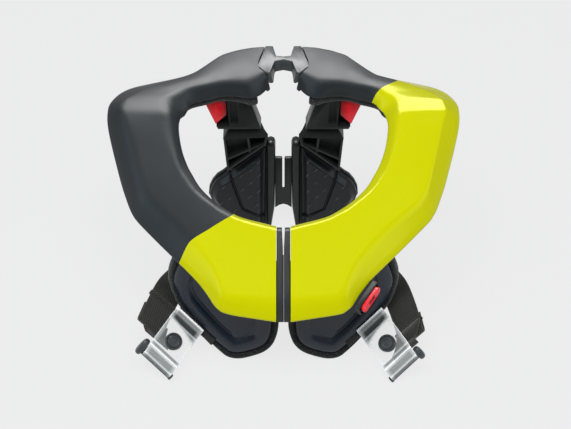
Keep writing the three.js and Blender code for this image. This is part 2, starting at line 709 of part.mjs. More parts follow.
// A loop round the webbing, at a share of its length.
function strapKeeper(share) {
  const rows = webRows(WEB_THICK / 2);
  const place = share * (rows.length - 1);
  const k = Math.floor(place);
  const [a, b] = [rows[k], rows[k + 1]];
  const centre = mix(a[1], b[1], place - k);
  const lengthwise = b[1].clone().sub(a[1]).normalize();
  const across = a[2].clone().sub(a[0]).normalize();
  const normal = lengthwise.clone().cross(across).normalize();
  const frame = new THREE.Matrix4().makeBasis(lengthwise, normal.clone().cross(lengthwise), normal);
  const inner = [WEB_WIDTH + GAP * 4, WEB_THICK + GAP * 4];
  const ring = cut(
    new THREE.BoxGeometry(KEEPER_WIDE, inner[0] + KEEPER_WALL * 2, inner[1] + KEEPER_WALL * 2),
    new THREE.BoxGeometry(KEEPER_WIDE * 2, inner[0], inner[1]),
  );
  return ring.applyMatrix4(frame.setPosition(centre));
}

const BAND_TOP = BAND_ROOT.map(({ x, z, ahead }) => {
  const [px, pz] = [x * CHEST_WIDTH, z * CHEST_HEIGHT];
  return point(px, strapFace(px, pz) - ahead, pz);
});
const BAND_END = BAND_TOP.map((p) => p.clone().addScaledVector(BAND_DOWN, BAND_LENGTH));
const BAND_SIDE = BAND_TOP[1].clone().sub(BAND_TOP[0]).normalize();
const BAND_NORMAL = BAND_SIDE.clone().cross(BAND_DOWN).normalize();

function rod(from, to, radius, sides) {
  const length = from.distanceTo(to);
  const geometry = new THREE.CylinderGeometry(radius, radius, length, sides);
  const turn = new THREE.Quaternion().setFromUnitVectors(point(0, 1, 0), to.clone().sub(from).normalize());
  const middle = mix(from, to, 0.5);
  return geometry.applyQuaternion(turn).translate(middle.x, middle.y, middle.z);
}

function bandPlace([across, down]) {
  return mix(mix(...BAND_TOP, across), mix(...BAND_END, across), down);
}

// Clear band with a hole for the stud and its end rolled round a pin.
function clearStrap() {
  const rows = (lift) => HALVES.map((down) => HALVES.map((across) => {
    return bandPlace([across, down]).addScaledVector(BAND_NORMAL, lift);
  }));
  const through = (from, to, direction, reach, radius, sides) => {
    const over = direction.clone().multiplyScalar(reach);
    return rod(from.clone().sub(over), to.clone().add(over), radius, sides);
  };
  const roll = rod(...BAND_END, ROLL_RADIUS, PIN_SIDES);
  const bore = through(...BAND_END, BAND_SIDE, ROLL_RADIUS, PIN_RADIUS + GAP, PIN_SIDES);
  const hole = bandPlace(STUD_PLACE);
  const punch = through(hole, hole, BAND_NORMAL, ROLL_RADIUS, STUD_RADIUS + GAP, STUD_SIDES);
  return cut(joined(sheet(rows(-BAND_THICK / 2), rows(BAND_THICK / 2)), roll), bore, punch);
}

function strapPin() {
  const place = (end, over) => BAND_END[end].clone().addScaledVector(BAND_SIDE, over);
  const shaft = rod(place(0, -PIN_OVERHANG / 2), place(1, PIN_OVERHANG), PIN_RADIUS, PIN_SIDES);
  return joined(shaft, rod(place(1, GAP * 3), place(1, PIN_OVERHANG * 2), KNOB_RADIUS, PIN_SIDES));
}

function strapStud() {
  const facing = -Math.sign(BAND_NORMAL.y);
  const up = (distance) => bandPlace(STUD_PLACE).addScaledVector(BAND_NORMAL, facing * distance);
  const under = -BAND_THICK / 2 - GAP;
  const stem = rod(up(under - GAP), up(BAND_THICK), STUD_RADIUS, STUD_SIDES);
  return joined(stem, rod(up(under), up(under - BAND_THICK), STUD_FLANGE, STUD_SIDES));
}

// Cloth tab that ties the band's upper end to the chest pad.
function strapTab() {
  const stops = HALVES.map((t) => THREE.MathUtils.lerp(TAB_SPAN.from, TAB_SPAN.to, t));
  const rows = (lift) => stops.map((t) => {
    const edge = BAND_TOP[0].clone().addScaledVector(BAND_SIDE, t * WEB_WIDTH);
    return [-TAB_SPAN.above, TAB_SPAN.below].map((share) => {
      const { x, z } = edge.clone().addScaledVector(BAND_DOWN, share * WEB_WIDTH);
      return point(x, chestFace(x, z) - GAP - lift, z);
    });
  });
  return sheet(rows(0), rows(TAB_THICK));
}

// Release catch on the outer lip of the wearer's left half

function catchFrame() {
  const [a, b] = [CATCH_PLACE.from, CATCH_PLACE.to].map((k) => COLLAR[k * LOFT_STEPS][4]);
  const lengthwise = b.clone().sub(a).normalize();
  const outward = lengthwise.clone().cross(point(0, 0, 1)).normalize();
  const upward = outward.clone().cross(lengthwise).normalize();
  const centre = mix(a, b, 0.5).addScaledVector(outward, CATCH_PLACE.out + CATCH_DEPTH / 2);
  centre.addScaledVector(upward, -CATCH_PLACE.down);
  return new THREE.Matrix4().makeBasis(lengthwise, upward, outward).setPosition(centre);
}

function pill(length, height, depth) {
  const radius = height / 2;
  const straight = length / 2 - radius;
  const shape = new THREE.Shape();
  shape.absarc(straight, 0, radius, -Math.PI / 2, Math.PI / 2);
  shape.absarc(-straight, 0, radius, Math.PI / 2, Math.PI * 1.5);
  return new THREE.ExtrudeGeometry(shape, { depth, bevelEnabled: false, curveSegments: ARC_STEPS });
}

function releaseHousing() {
  const block = new THREE.BoxGeometry(CATCH_LENGTH, CATCH_HEIGHT + SLIDE_GAP * 4, CATCH_DEPTH);
  const well = pill(BUTTON_LENGTH + SLIDE_GAP * 2, BUTTON_HEIGHT + SLIDE_GAP * 2, CATCH_DEPTH);
  return cut(block, well.translate(0, 0, -CATCH_DEPTH / 2 + BEVEL / 2)).applyMatrix4(catchFrame());
}

function releaseButton() {
  const foot = -CATCH_DEPTH / 2 + BEVEL / 2 + BUTTON_PROUD;
  const depth = CATCH_DEPTH / 2 + BUTTON_PROUD - foot;
  const body = pill(BUTTON_LENGTH, BUTTON_HEIGHT, depth).translate(0, 0, foot);
  const { length, height } = BUTTON_RECESS;
  const dish = new THREE.BoxGeometry(BUTTON_LENGTH * length, BUTTON_HEIGHT * height, BUTTON_DISH * 2);
  return cut(body, dish.translate(0, 0, foot + depth)).applyMatrix4(catchFrame());
}

// The assembly

const brace = new THREE.Group();
brace.name = 'neck_brace';

function add(name, geometry, finish) {
  const whole = geometry.clone();
  whole.computeVertexNormals();
  const mesh = new THREE.Mesh(whole, new THREE.MeshStandardMaterial(COLOURS[finish]));
  mesh.name = name;
  brace.add(mesh);
}

const collarShell = () => sheet(COLLAR, sunk(COLLAR, SHELL_WALL));

const PAIRED = [
  { name: 'collar_shell', make: collarShell, finish: { left: 'lime', right: 'slate' } },
  { name: 'collar_liner', make: linerBody, finish: 'foam' },
  { name: 'front_seam', make: seamStrip, finish: 'nylon' },
  { name: 'front_strut', make: frontStrut, finish: 'nylon' },
  { name: 'chest_plate', make: chestPlate, finish: 'navy' },
  { name: 'chest_foam', make: chestFoam, finish: 'foam' },
  { name: 'adjuster_block', make: adjusterBlock, finish: 'nylon' },
  { name: 'adjuster_lock', make: adjusterLock, finish: 'red' },
  { name: 'rear_strut', make: rearStrut, finish: 'nylon' },
  { name: 'scapula_pad', make: bladePad, finish: 'navy' },
  { name: 'strap_webbing', make: strapWebbing, finish: 'webbing' },
  { name: 'clear_strap', make: clearStrap, finish: 'clear' },
  { name: 'strap_pin', make: strapPin, finish: 'nylon' },
  { name: 'strap_stud', make: strapStud, finish: 'nylon' },
  { name: 'strap_tab', make: strapTab, finish: 'webbing' },
];

for (const { name, make, finish } of PAIRED) {
  const left = make();
  add(`${name}_left`, left, finish.left ?? finish);
  add(`${name}_right`, mirrored(left), finish.right ?? finish);
}
add('strap_keeper_left', strapKeeper(KEEPER_PLACE.left), 'webbing');
add('strap_keeper_right', mirrored(strapKeeper(KEEPER_PLACE.right)), 'webbing');
add('rear_bridge', rearBridge(), 'nylon');
add('lower_bridge', lowerBridge(), 'nylon');
add('release_housing', releaseHousing(), 'nylon');
add('release_button', releaseButton(), 'red');

// Stand the brace on its pads with the middle of its box over the origin.
brace.updateMatrixWorld(true);
const box = new THREE.Box3().setFromObject(brace);
brace.position.set(-(box.min.x + box.max.x) / 2, -(box.min.y + box.max.y) / 2, -box.min.z);

export default brace;
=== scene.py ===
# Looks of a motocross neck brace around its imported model. Metres, x to the wearer's left, y to the back.
import json
import math
import bmesh
import bpy
import numpy as np
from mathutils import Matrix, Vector
from mathutils.bvhtree import BVHTree


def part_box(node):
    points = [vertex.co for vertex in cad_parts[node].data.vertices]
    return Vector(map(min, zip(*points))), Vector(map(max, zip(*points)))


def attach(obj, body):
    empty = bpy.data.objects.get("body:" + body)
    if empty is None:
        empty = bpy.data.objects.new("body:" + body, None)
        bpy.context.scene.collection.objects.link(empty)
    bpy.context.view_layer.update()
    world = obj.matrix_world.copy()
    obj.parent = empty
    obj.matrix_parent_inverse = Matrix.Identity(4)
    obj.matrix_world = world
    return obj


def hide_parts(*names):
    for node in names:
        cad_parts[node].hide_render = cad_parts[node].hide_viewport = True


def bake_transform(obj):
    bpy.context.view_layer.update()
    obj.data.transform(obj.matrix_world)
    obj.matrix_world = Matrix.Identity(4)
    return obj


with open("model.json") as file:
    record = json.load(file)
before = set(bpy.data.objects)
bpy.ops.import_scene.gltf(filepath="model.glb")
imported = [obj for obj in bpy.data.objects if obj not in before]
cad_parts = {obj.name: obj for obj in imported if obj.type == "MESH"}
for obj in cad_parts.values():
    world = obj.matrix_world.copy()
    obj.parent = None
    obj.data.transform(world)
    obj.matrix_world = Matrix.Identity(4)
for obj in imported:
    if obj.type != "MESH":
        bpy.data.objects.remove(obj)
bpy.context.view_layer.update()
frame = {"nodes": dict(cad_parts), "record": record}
mm = 0.001
sides = {"left": 1, "right": -1}
bodies = {"left": "left_half", "right": "right_half"}


# camera

photo = {"width": 571, "height": 429, "aimPixel": (283.4, 216.5), "metresPerPixel": 0.000824}
cameraPlace = {"elevation": 38, "distance": 1.7, "aimHeight": 0.088, "sensor": 36}


def makeCamera(shiftY):
    tilt = math.radians(cameraPlace["elevation"])
    ahead = Vector((0, math.cos(tilt), -math.sin(tilt)))
    aim = Vector((0, shiftY, cameraPlace["aimHeight"]))
    data = bpy.data.cameras.new("photoCamera")
    data.sensor_width = cameraPlace["sensor"]
    focalPixels = cameraPlace["distance"] / photo["metresPerPixel"]
    data.lens = focalPixels / photo["width"] * data.sensor_width
    data.shift_x = (photo["width"] / 2 - photo["aimPixel"][0]) / photo["width"]
    data.shift_y = (photo["aimPixel"][1] - photo["height"] / 2) / photo["width"]
    camera = addObject("photoCamera", data)
    camera.location = aim - ahead * cameraPlace["distance"]
    camera.rotation_euler = (math.pi / 2 - tilt, 0, 0)
    bpy.context.scene.camera = camera


# shader maths

class Wire:
    def __init__(self, finish, socket):
        self.finish = finish
        self.socket = socket

    def __add__(self, other):
        return self.finish.maths("ADD", self, other)

    def __mul__(self, other):
        return self.finish.maths("MULTIPLY", self, other)

    __radd__ = __add__
    __rmul__ = __mul__


class Finish:
    def __init__(self, name, **constants):
        self.material = bpy.data.materials.new(name)
        self.material.use_nodes = True
        self.tree = self.material.node_tree
        self.shader = self.tree.nodes["Principled BSDF"]
        for socket, value in constants.items():
            self.shader.inputs[socket.replace("_", " ")].default_value = value

    def add(self, kind, settings, values, out=0):
        node = self.tree.nodes.new(kind)
        for name, value in settings.items():
            setattr(node, name, value)
        for name, value in values.items():
            if isinstance(value, Wire):
                self.tree.links.new(value.socket, node.inputs[name])
            else:
                node.inputs[name].default_value = value
        return Wire(self, node.outputs[out])

    def maths(self, operation, *values):
        return self.add("ShaderNodeMath", {"operation": operation}, dict(enumerate(values)))

    def feed(self, **wires):
        for socket, wire in wires.items():
            self.tree.links.new(wire.socket, self.shader.inputs[socket.replace("_", " ")])
        return self.material

    def place(self):
        return self.add("ShaderNodeTexCoord", {}, {}, "Object")

    def attribute(self, name, out="Fac"):
        return self.add("ShaderNodeAttribute", {"attribute_name": name}, {}, out)

    def noise(self, scale, detail=2, roughness=0.5):
        values = {"Vector": self.place(), "Scale": scale, "Detail": detail, "Roughness": roughness}
        return self.add("ShaderNodeTexNoise", {}, values, "Fac")

    def ramp(self, wire, low, high, toLow=0.0, toHigh=1.0):
        values = {"Value": wire, "From Min": low, "From Max": high, "To Min": toLow, "To Max": toHigh}
        return self.add("ShaderNodeMapRange", {"interpolation_type": "SMOOTHSTEP"}, values, "Result")

    def cloudy(self, noise, low, high):
        return self.ramp(noise, *cloudSpan, low, high)

    def tint(self, mask, first, second):
        return self.add("ShaderNodeMix", {"data_type": "RGBA"}, {0: mask, 6: first, 7: second}, 2)

    def bump(self, height, strength, depth):
        return self.add("ShaderNodeBump", {}, {"Height": height, "Strength": strength, "Distance": depth})


def colour(red, green, blue):
    return (red, green, blue, 1)


cloudSpan = (0.3, 0.7)  # where most of a noise lies
paintEdge = 0.12 * mm


# finishes

def shellPaint():
    look = Finish("shellPaint", Specular_IOR_Level=0.46)
    limeSide = look.ramp(look.attribute("paint"), -paintEdge, paintEdge)
    cloud = look.noise(22, 3)
    look.feed(
        Base_Color=look.tint(cloud, colour(0.0066, 0.0098, 0.0114), colour(0.0082, 0.0118, 0.0136)),
        Roughness=look.cloudy(look.noise(60, 3), 0.45, 0.50),
        Normal=look.bump(look.noise(2600), 0.25, 0.06 * mm),
    )
    values = {
        "Base Color": look.tint(cloud, colour(0.432, 0.436, 0.0), colour(0.434, 0.438, 0.0)),
        "Roughness": look.cloudy(look.noise(2600), 0.266, 0.272),
        "Specular IOR Level": 0.42, "Specular Tint": colour(1.0, 1.0, 0.12),
        "Coat Weight": 0.06, "Coat Roughness": 0.12, "Coat Tint": colour(1.0, 1.0, 0.5),
        "Normal": look.bump(look.noise(2200), 0.10, 0.03 * mm),
    }
    lime = look.add("ShaderNodeBsdfPrincipled", {}, values, "BSDF")
    slate = Wire(look, look.shader.outputs["BSDF"])
    both = look.add("ShaderNodeMixShader", {}, {0: limeSide, 1: slate, 2: lime}, "Shader")
    look.tree.links.new(both.socket, look.tree.nodes["Material Output"].inputs["Surface"])
    return look.material


def mouldedBlack(name, base, rough, grainScale=1800, gloss=0.45):
    look = Finish(name, Specular_IOR_Level=gloss)
    light = [value * 1.35 for value in base]
    return look.feed(
        Base_Color=look.tint(look.noise(35, 4), colour(*base), colour(*light)),
        Roughness=look.cloudy(look.noise(90, 3), rough - 0.05, rough + 0.06),
        Normal=look.bump(look.noise(grainScale, 3, roughness=0.6), 0.3, 0.08 * mm),
    )


def twillWebbing():
    look = Finish("twillWebbing", Specular_IOR_Level=0.2, Sheen_Weight=0.3, Sheen_Roughness=0.5)
    cloth = look.attribute("cloth", "Vector")
    settings = {"wave_type": "BANDS", "bands_direction": "DIAGONAL", "wave_profile": "SIN"}
    values = {"Vector": cloth, "Scale": 260.0, "Distortion": 0.8, "Detail": 1.0, "Detail Scale": 3.0}
    rib = look.add("ShaderNodeTexWave", settings, values, "Fac")
    fuzz = look.noise(3500, 3)
    worn = look.tint(look.noise(60, 3), colour(0.027, 0.027, 0.025), colour(0.054, 0.054, 0.049))
    shade = rib * 0.7 + fuzz * 0.3
    return look.feed(
        Base_Color=look.tint(shade, colour(0.007, 0.007, 0.006), worn),
        Roughness=look.ramp(fuzz, 0.2, 0.8, 0.85, 0.97),
        Normal=look.bump(shade, 0.8, 0.4 * mm),
    )


def pipingCloth():
    look = Finish("pipingCloth", Specular_IOR_Level=0.25, Sheen_Weight=0.2)
    weave = look.add("ShaderNodeTexVoronoi", {}, {"Vector": look.place(), "Scale": 900.0}, "Distance")
    lint = look.noise(700, 4, roughness=0.7)
    return look.feed(
        Base_Color=look.tint(look.ramp(lint, 0.45, 0.75), colour(0.01, 0.01, 0.01),
                             colour(0.05, 0.05, 0.047)),
        Roughness=look.ramp(lint, 0.2, 0.8, 0.8, 0.95),
        Normal=look.bump(weave + lint, 0.7, 0.5 * mm),
    )


def clearPlastic():
    look = Finish("clearPlastic", IOR=1.5, Specular_IOR_Level=0.22)
    smear = look.noise(45, 3)
    # two attributes carry painted shade with painted reflections, and painted highlights; they darken or
    # whiten the colour and make it more opaque
    paintedShade = look.attribute("paintedShade")
    bright = look.attribute("bright")
    tone = look.tint(smear, colour(0.50, 0.53, 0.52), colour(0.62, 0.64, 0.63))
    shadedTone = look.tint(paintedShade, tone, colour(0.035, 0.042, 0.042))
    return look.feed(
        Base_Color=look.tint(bright, shadedTone, colour(0.95, 0.96, 0.96)),
        Roughness=look.cloudy(smear, 0.04, 0.10),
        Alpha=look.maths("MINIMUM", paintedShade * 0.9 + bright * 0.85 + 0.07 + smear * 0.08, 1.0),
    )


# red plastic; if the two distances are given, painted shade makes it darker towards the brace's middle
# between them, where it lies in shade beside the block
def redPlastic(name, paintedShadeTo=None, unshadedFrom=None):
    look = Finish(name, Specular_IOR_Level=0.5)
    cloud = look.noise(120, 3)
    red = look.tint(cloud, colour(0.66, 0.008, 0.016), colour(0.78, 0.014, 0.024))
    if paintedShadeTo:
        across = look.add("ShaderNodeSeparateXYZ", {}, {"Vector": look.place()}, "X")
        clear = look.ramp(look.maths("ABSOLUTE", across), paintedShadeTo, unshadedFrom)
        # painted shade: the red turns dark towards the middle
        red = look.tint(clear, colour(0.10, 0.002, 0.004), red)
    return look.feed(
        Base_Color=red,
        Roughness=look.cloudy(cloud, 0.26, 0.36),
        Normal=look.bump(look.noise(1500), 0.2, 0.05 * mm),
    )


finishes = {
    "paint": shellPaint(),
    "nylon": mouldedBlack("mouldedNylon", (0.008, 0.0088, 0.0085), 0.40, gloss=0.32),
    "satin": mouldedBlack("satinGrey", (0.028, 0.032, 0.034), 0.34),
    "pad": mouldedBlack("padMoulding", (0.0028, 0.0040, 0.0046), 0.34, 1200, gloss=0.32),
    "chest": mouldedBlack("chestMoulding", (0.0046, 0.0092, 0.0162), 0.27, 1200, gloss=0.46),
    # the raised dashes are real relief; their light grey is a painted highlight
    "mark": mouldedBlack("padMarkHighlight", (0.045, 0.049, 0.046), 0.38),
    "strip": mouldedBlack("edgeStrip", (0.016, 0.018, 0.017), 0.40),
    "piping": pipingCloth(),
    "webbing": twillWebbing(),
    "clear": clearPlastic(),
    "red": redPlastic("redPlastic"),
    # the lock's red carries painted shade towards its inner end
    "redWedgeShaded": redPlastic("redWedgeShaded", 46 * mm, 56 * mm),
    # darker red as painted shade in the button's well
    "redDeep": mouldedBlack("redRecessShade", (0.11, 0.003, 0.005), 0.45),
}
print("finishes made")


# meshes

def addObject(name, data):
    made = bpy.data.objects.new(name, data)
    bpy.context.scene.collection.objects.link(made)
    return made


# points are about the collar's own middle, shiftY sets them in the frame
def newPiece(name, points, faces, finish, mirror=1, attributes=None):
    mesh = bpy.data.meshes.new(name)
    placed = [(p[0] * mirror, p[1] + shiftY, p[2]) for p in points]
    wound = faces if mirror > 0 else [tuple(reversed(face)) for face in faces]
    mesh.from_pydata(placed, [], wound)
    mesh.validate()
    for label, values in (attributes or {}).items():
        values = np.asarray(values, np.float32)
        kind, field = ("FLOAT", "value") if values.ndim == 1 else ("FLOAT_VECTOR", "vector")
        mesh.attributes.new(label, kind, "POINT").data.foreach_set(field, values.ravel())
    work = bmesh.new()
    work.from_mesh(mesh)
    bmesh.ops.recalc_face_normals(work, faces=work.faces)
    work.to_mesh(mesh)
    work.free()
    mesh.materials.append(finishes[finish])
    return addObject(name, mesh)


def smooth(piece, angle=35):
    piece.data.shade_smooth()
    piece.data.set_sharp_from_angle(angle=math.radians(angle))
    return piece


def dress(piece, slot, body, *nodes):
    if nodes:
        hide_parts(*nodes)
    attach(piece, body)
    return piece


def oneSide(side, name, points, faces, finish, slot, node=None, attributes=None, angle=40):
    piece = newPiece(f"{name}_{side}", points, faces, finish, sides[side], attributes)
    if angle:
        smooth(piece, angle)
    return dress(piece, slot, bodies[side], *([f"{node}_{side}"] if node else []))


def eachSide(name, *rest, **more):
    return [oneSide(side, name, *rest, **more) for side in sides]


rounding = {"segments": 3, "edgeFrom": math.radians(25), "weld": 1e-5, "flat": math.radians(1.5)}


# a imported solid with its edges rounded
def roundedNode(node, name, width, finish, reshape=None):
    work = bmesh.new()
    work.from_mesh(frame["nodes"][node].data)
    bmesh.ops.remove_doubles(work, verts=work.verts, dist=rounding["weld"])
    bmesh.ops.dissolve_limit(work, angle_limit=rounding["flat"], verts=work.verts, edges=work.edges)
    bmesh.ops.recalc_face_normals(work, faces=work.faces)
    for vertex in work.verts if reshape else ():
        reshape(vertex.co)
    mesh = bpy.data.meshes.new(name)
    work.to_mesh(mesh)
    work.free()
    mesh.materials.clear()
    mesh.materials.append(finishes[finish])
    piece = addObject(name, mesh)
    bevel = piece.modifiers.new("bevel", "BEVEL")
    bevel.width, bevel.segments = width, rounding["segments"]
    bevel.limit_method, bevel.angle_limit = "ANGLE", rounding["edgeFrom"]
    graph = bpy.context.evaluated_depsgraph_get()
    graph.update()
    done = bpy.data.meshes.new_from_object(piece.evaluated_get(graph), depsgraph=graph)
    piece.modifiers.clear()
    piece.data = done
    done.name = name
    bpy.data.meshes.remove(mesh)
    return smooth(piece)


def unit(vector):
    return vector / np.linalg.norm(vector)


def unitRows(vectors):
    return vectors / np.linalg.norm(vectors, axis=1)[:, None]


# loops of equal length joined one after another, capped at both ends
def loft(loops, capped=True):
    count = len(loops[0])
    points = [p for loop in loops for p in loop]
    faces = []
    for r in range(len(loops) - 1):
        for i in range(count):
            here, after = r * count + i, r * count + (i + 1) % count
            faces.append((here, after, after + count, here + count))
    if capped:
        faces.append(tuple(reversed(range(count))))
        faces.append(tuple(range((len(loops) - 1) * count, len(loops) * count)))
    return points, faces


# a rounded corner between a and b
def arc(a, corner, b, t):
    return a * (1 - t) ** 2 + corner * 2 * t * (1 - t) + b * t * t


# collar

collar = {
    "halfWidth": 145 * mm, "frontReach": 108 * mm, "rearReach": 128 * mm, "rearHeight": 174 * mm,
    "sideFall": 4 * mm, "crown": 0.6 * mm, "wall": 3 * mm, "middleSoft": 0.45, "frontSoft": 9 * mm,
    "softMost": 0.42, "brimShare": 0.35, "cornerSteps": 6, "paintSoft": 0.1,
}
wingCrown = {13: 0.8, 14: 1.6, 15: 2, 16: 2.2, 17: 2, 18: 1.5, 19: 0.8}  # in millimetres, by row
# crease radii by side: at the neck, in front and at the rear, and at the outside; then the easing by row
creases = {
    "left": {"neck": 2.2 * mm, "rear": 7 * mm, "outer": 1.8 * mm, "outerRear": 1.8 * mm,
             "rows": {2: 0.12, 3: 0.16, 4: 0.24}},
    "right": {"neck": 3 * mm, "rear": 9 * mm, "outer": 8 * mm, "outerRear": 2.2 * mm,
              "rows": {2: 0.5, 3: 0.4, 4: 0.40}},
}
creaseTurns = {"neck": 0.4, "front": 0.8, "back": 0.7}  # shares of the reach at which the radii have changed
cornerRows = {"first": 10, "last": 13, "edgeEase": 0.5}
lining = {"gap": 0.9 * mm, "thick": 6 * mm, "show": 7.4 * mm, "inset": 4 * mm}
profile = {
    "y": [-1, -0.38, 0, 0.22, 0.32, 0.39, 0.47, 0.6, 1],
    "crease": [0.446, 0.668, 0.807, 0.9, 0.943, 0.959, 0.965, 0.971, 1.009],
    "rim": [0.4, 0.636, 0.765, 0.849, 0.883, 0.892, 0.898, 0.894, 0.912],
    "edge": [0.38, 0.568, 0.692, 0.785, 0.834, 0.868, 0.893, 0.915, 0.93],
    "show": [0, 0, 0, 0.05, 0.12, 0.25, 0.66, 1, 1],
}
sections = {
    "rim": [(0.04, -0.38), (0.245, -0.31), (0.29, -0.28), (0.335, -0.245), (0.385, -0.2), (0.46, -0.105),
            (0.509, -0.005), (0.531, 0.04), (0.561, 0.125), (0.58, 0.22), (0.586, 0.3), (0.579, 0.353),
            (0.566, 0.403), (0.54, 0.448), (0.512, 0.5), (0.422, 0.546), (0.354, 0.58), (0.268, 0.582),
            (0.2, 0.566), (0.136, 0.597), (0.077, 0.686)],
    "in": [(0.04, -0.44), (0.25, -0.37), (0.3, -0.34), (0.35, -0.31), (0.4, -0.265), (0.487, -0.18),
           (0.545, -0.09), (0.577, -0.025), (0.608, 0.075), (0.632, 0.17), (0.645, 0.26), (0.652, 0.325),
           (0.648, 0.442), (0.583, 0.5), (0.522, 0.538), (0.421, 0.57), (0.352, 0.59), (0.267, 0.604),
           (0.204, 0.616), (0.152, 0.652), (0.099, 0.691)],
    "out": [(0.04, -0.915), (0.295, -0.895), (0.34, -0.86), (0.37, -0.775), (0.41, -0.67), (0.565, -0.445),
            (0.76, -0.235), (0.8, -0.15), (0.825, -0.045), (0.865, 0.135), (0.893, 0.267), (0.925, 0.372),
            (0.905, 0.47), (0.815, 0.552), (0.7, 0.626), (0.517, 0.705), (0.426, 0.813), (0.361, 0.89),
            (0.277, 0.932), (0.19, 0.957), (0.11, 0.963)],
    "edge": [(0.04, -1), (0.325, -0.945), (0.38, -0.89), (0.42, -0.805), (0.485, -0.695), (0.68, -0.45),
             (0.825, -0.265), (0.86, -0.19), (0.91, -0.02), (0.967, 0.195), (1.003, 0.34), (1.008, 0.425),
             (0.999, 0.511), (0.916, 0.634), (0.752, 0.699), (0.56, 0.77), (0.457, 0.87), (0.385, 0.94),
             (0.29, 0.983), (0.197, 1), (0.11, 1)],
}
lastMiddle = (0.159, 0.763)
# where the paint changes, as a place along the sections for each of the five columns
paintLines = {"right": [1.58, 1.77, 4.13, 4.71, 4.48], "left": [14.13, 13.71, 14.04, 14.24, 14.64]}
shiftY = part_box("collar_shell_left")[1].y - collar["rearReach"]


def reachOf(share):
    return share * (collar["frontReach"] if share < 0 else collar["rearReach"])


profileReaches = [reachOf(share) for share in profile["y"]]


def planPoint(share, line):
    y = reachOf(share[1])
    height = float(np.interp(y, profileReaches, profile[line])) * collar["rearHeight"]
    return np.array([share[0] * collar["halfWidth"], y, height])


def collarKeys():
    rows = []
    for k in range(len(sections["rim"])):
        rim = planPoint(sections["rim"][k], "rim")
        inner = planPoint(sections["in"][k], "crease")
        outer = planPoint(sections["out"][k], "crease")
        outer[2] -= collar["sideFall"] * sections["out"][k][0]
        crown = wingCrown[k] * mm if k in wingCrown else collar["crown"]
        middle = (inner + outer) / 2 + np.array([0, 0, crown])
        if k == len(sections["rim"]) - 1:
            middle = planPoint(lastMiddle, "crease")
        rows.append([rim, inner, middle, outer, planPoint(sections["edge"][k], "edge")])
    return np.array(rows)


# centripetal curve through the points, u counts the points
def curveAt(points, u):
    k = min(int(u), len(points) - 2)
    t = u - k
    p1, p2 = points[k], points[k + 1]
    p0 = points[k - 1] if k else 2 * p1 - p2
    p3 = points[k + 2] if k + 2 < len(points) else 2 * p2 - p1
    d0, d1, d2 = [math.sqrt(np.linalg.norm(b - a)) for a, b in ((p0, p1), (p1, p2), (p2, p3))]
    m1 = ((p1 - p0) / d0 - (p2 - p0) / (d0 + d1) + (p2 - p1) / d1) * d1
    m2 = ((p2 - p1) / d1 - (p3 - p1) / (d1 + d2) + (p3 - p2) / d2) * d1
    c2 = 3 * (p2 - p1) - 2 * m1 - m2
    c3 = 2 * (p1 - p2) + m1 + m2
    return p1 + t * (m1 + t * (c2 + t * c3))


# straight stretches whose corners are eased over a share of each stretch
def easedAt(points, u, soft, cornerSoft=None):
    k = int(round(u))
    if cornerSoft and cornerRows["first"] <= k <= cornerRows["last"]:
        soft = cornerSoft
    if 0 < k < len(points) - 1 and abs(u - k) < soft:
        a = points[k] + (points[k - 1] - points[k]) * soft
        b = points[k] + (points[k + 1] - points[k]) * soft
        return arc(a, points[k], b, (u - k + soft) / (2 * soft))
    k = min(int(u), len(points) - 2)
    return points[k] + (points[k + 1] - points[k]) * (u - k)


rowSteps = [-0.4, -0.3, -0.2, -0.12, -0.06, 0, 0.06, 0.12, 0.2, 0.3, 0.4, 0.5]


def rowPlaces(last):
    places = sorted({round(k + step, 3) for k in range(last + 1) for step in rowSteps})
    return [u for u in places if 0 <= u <= last]


def collarRow(keys, u, rowEase):
    row = [curveAt(keys[:, j], u) for j in (0, 1)]
    row += [easedAt(keys[:, j], u, rowEase[j]) for j in (2, 3)]
    return row + [easedAt(keys[:, 4], u, rowEase[4], cornerRows["edgeEase"])]


# a section's five points with its creases rounded
def sectionLine(row, crease):
    toRear, toFront, toBack = [float(np.clip(y / (creaseTurns[turn] * reach), 0, 1)) for y, turn, reach in (
        (row[1][1], "neck", collar["rearReach"]), (-row[3][1], "front", collar["frontReach"]),
        (row[3][1], "back", collar["rearReach"]))]
    outer = crease["outer"] * (1 - toFront - toBack) + collar["frontSoft"] * toFront
    outer += crease["outerRear"] * toBack
    softness = {1: crease["neck"] * (1 - toRear) + crease["rear"] * toRear, 3: outer}
    line = [row[0], row[0] + (row[1] - row[0]) * collar["brimShare"]]
    for j in (1, 2, 3):
        here, ends = row[j], []
        for other in (row[j - 1], row[j + 1]):
            share = collar["middleSoft"]
            if j in softness:
                share = min(softness[j] / np.linalg.norm(other - here), collar["softMost"])
            ends.append(here + (other - here) * share)
        line += [arc(ends[0], here, ends[1], t) for t in np.linspace(0, 1, collar["cornerSteps"])]
    return line + [row[4] + (row[3] - row[4]) * collar["brimShare"], row[4]]


def gridNormals(grid, flatRows):
    across = np.gradient(grid, axis=1)
    along = np.gradient(grid, axis=0)
    normals = np.cross(across, along)
    normals[0, :, 0] = 0
    normals /= np.linalg.norm(normals, axis=2, keepdims=True)
    if normals[..., 2].mean() < 0:
        normals = -normals
    normals[-flatRows:] = (0, 0, 1)
    return normals


# closed loops round a sheet between two depths under a grid, with round lips
def sheetLoops(grid, normals, top, bottom, lipSteps=5):
    radius = (bottom - top) / 2
    loops = []
    for row, normal in zip(grid, normals):
        upper = [p - n * top for p, n in zip(row, normal)]
        lower = [p - n * bottom for p, n in zip(row, normal)]
        loop = []
        for end, inner, face, other in ((-1, -2, upper, lower), (0, 1, lower, upper)):
            tangent = unit(row[end] - row[inner])
            turn = normal[end] if end else -normal[end]
            centre = (face[end] + other[end]) / 2 - tangent * radius
            loop += face if end else face[::-1]
            loop.pop()
            for step in range(lipSteps + 1):
                a = math.pi * step / lipSteps
                loop.append(centre + (turn * math.cos(a) + tangent * math.sin(a)) * radius)
        loops.append(loop[1:] if np.allclose(loop[0], upper[0]) else loop)
    return loops


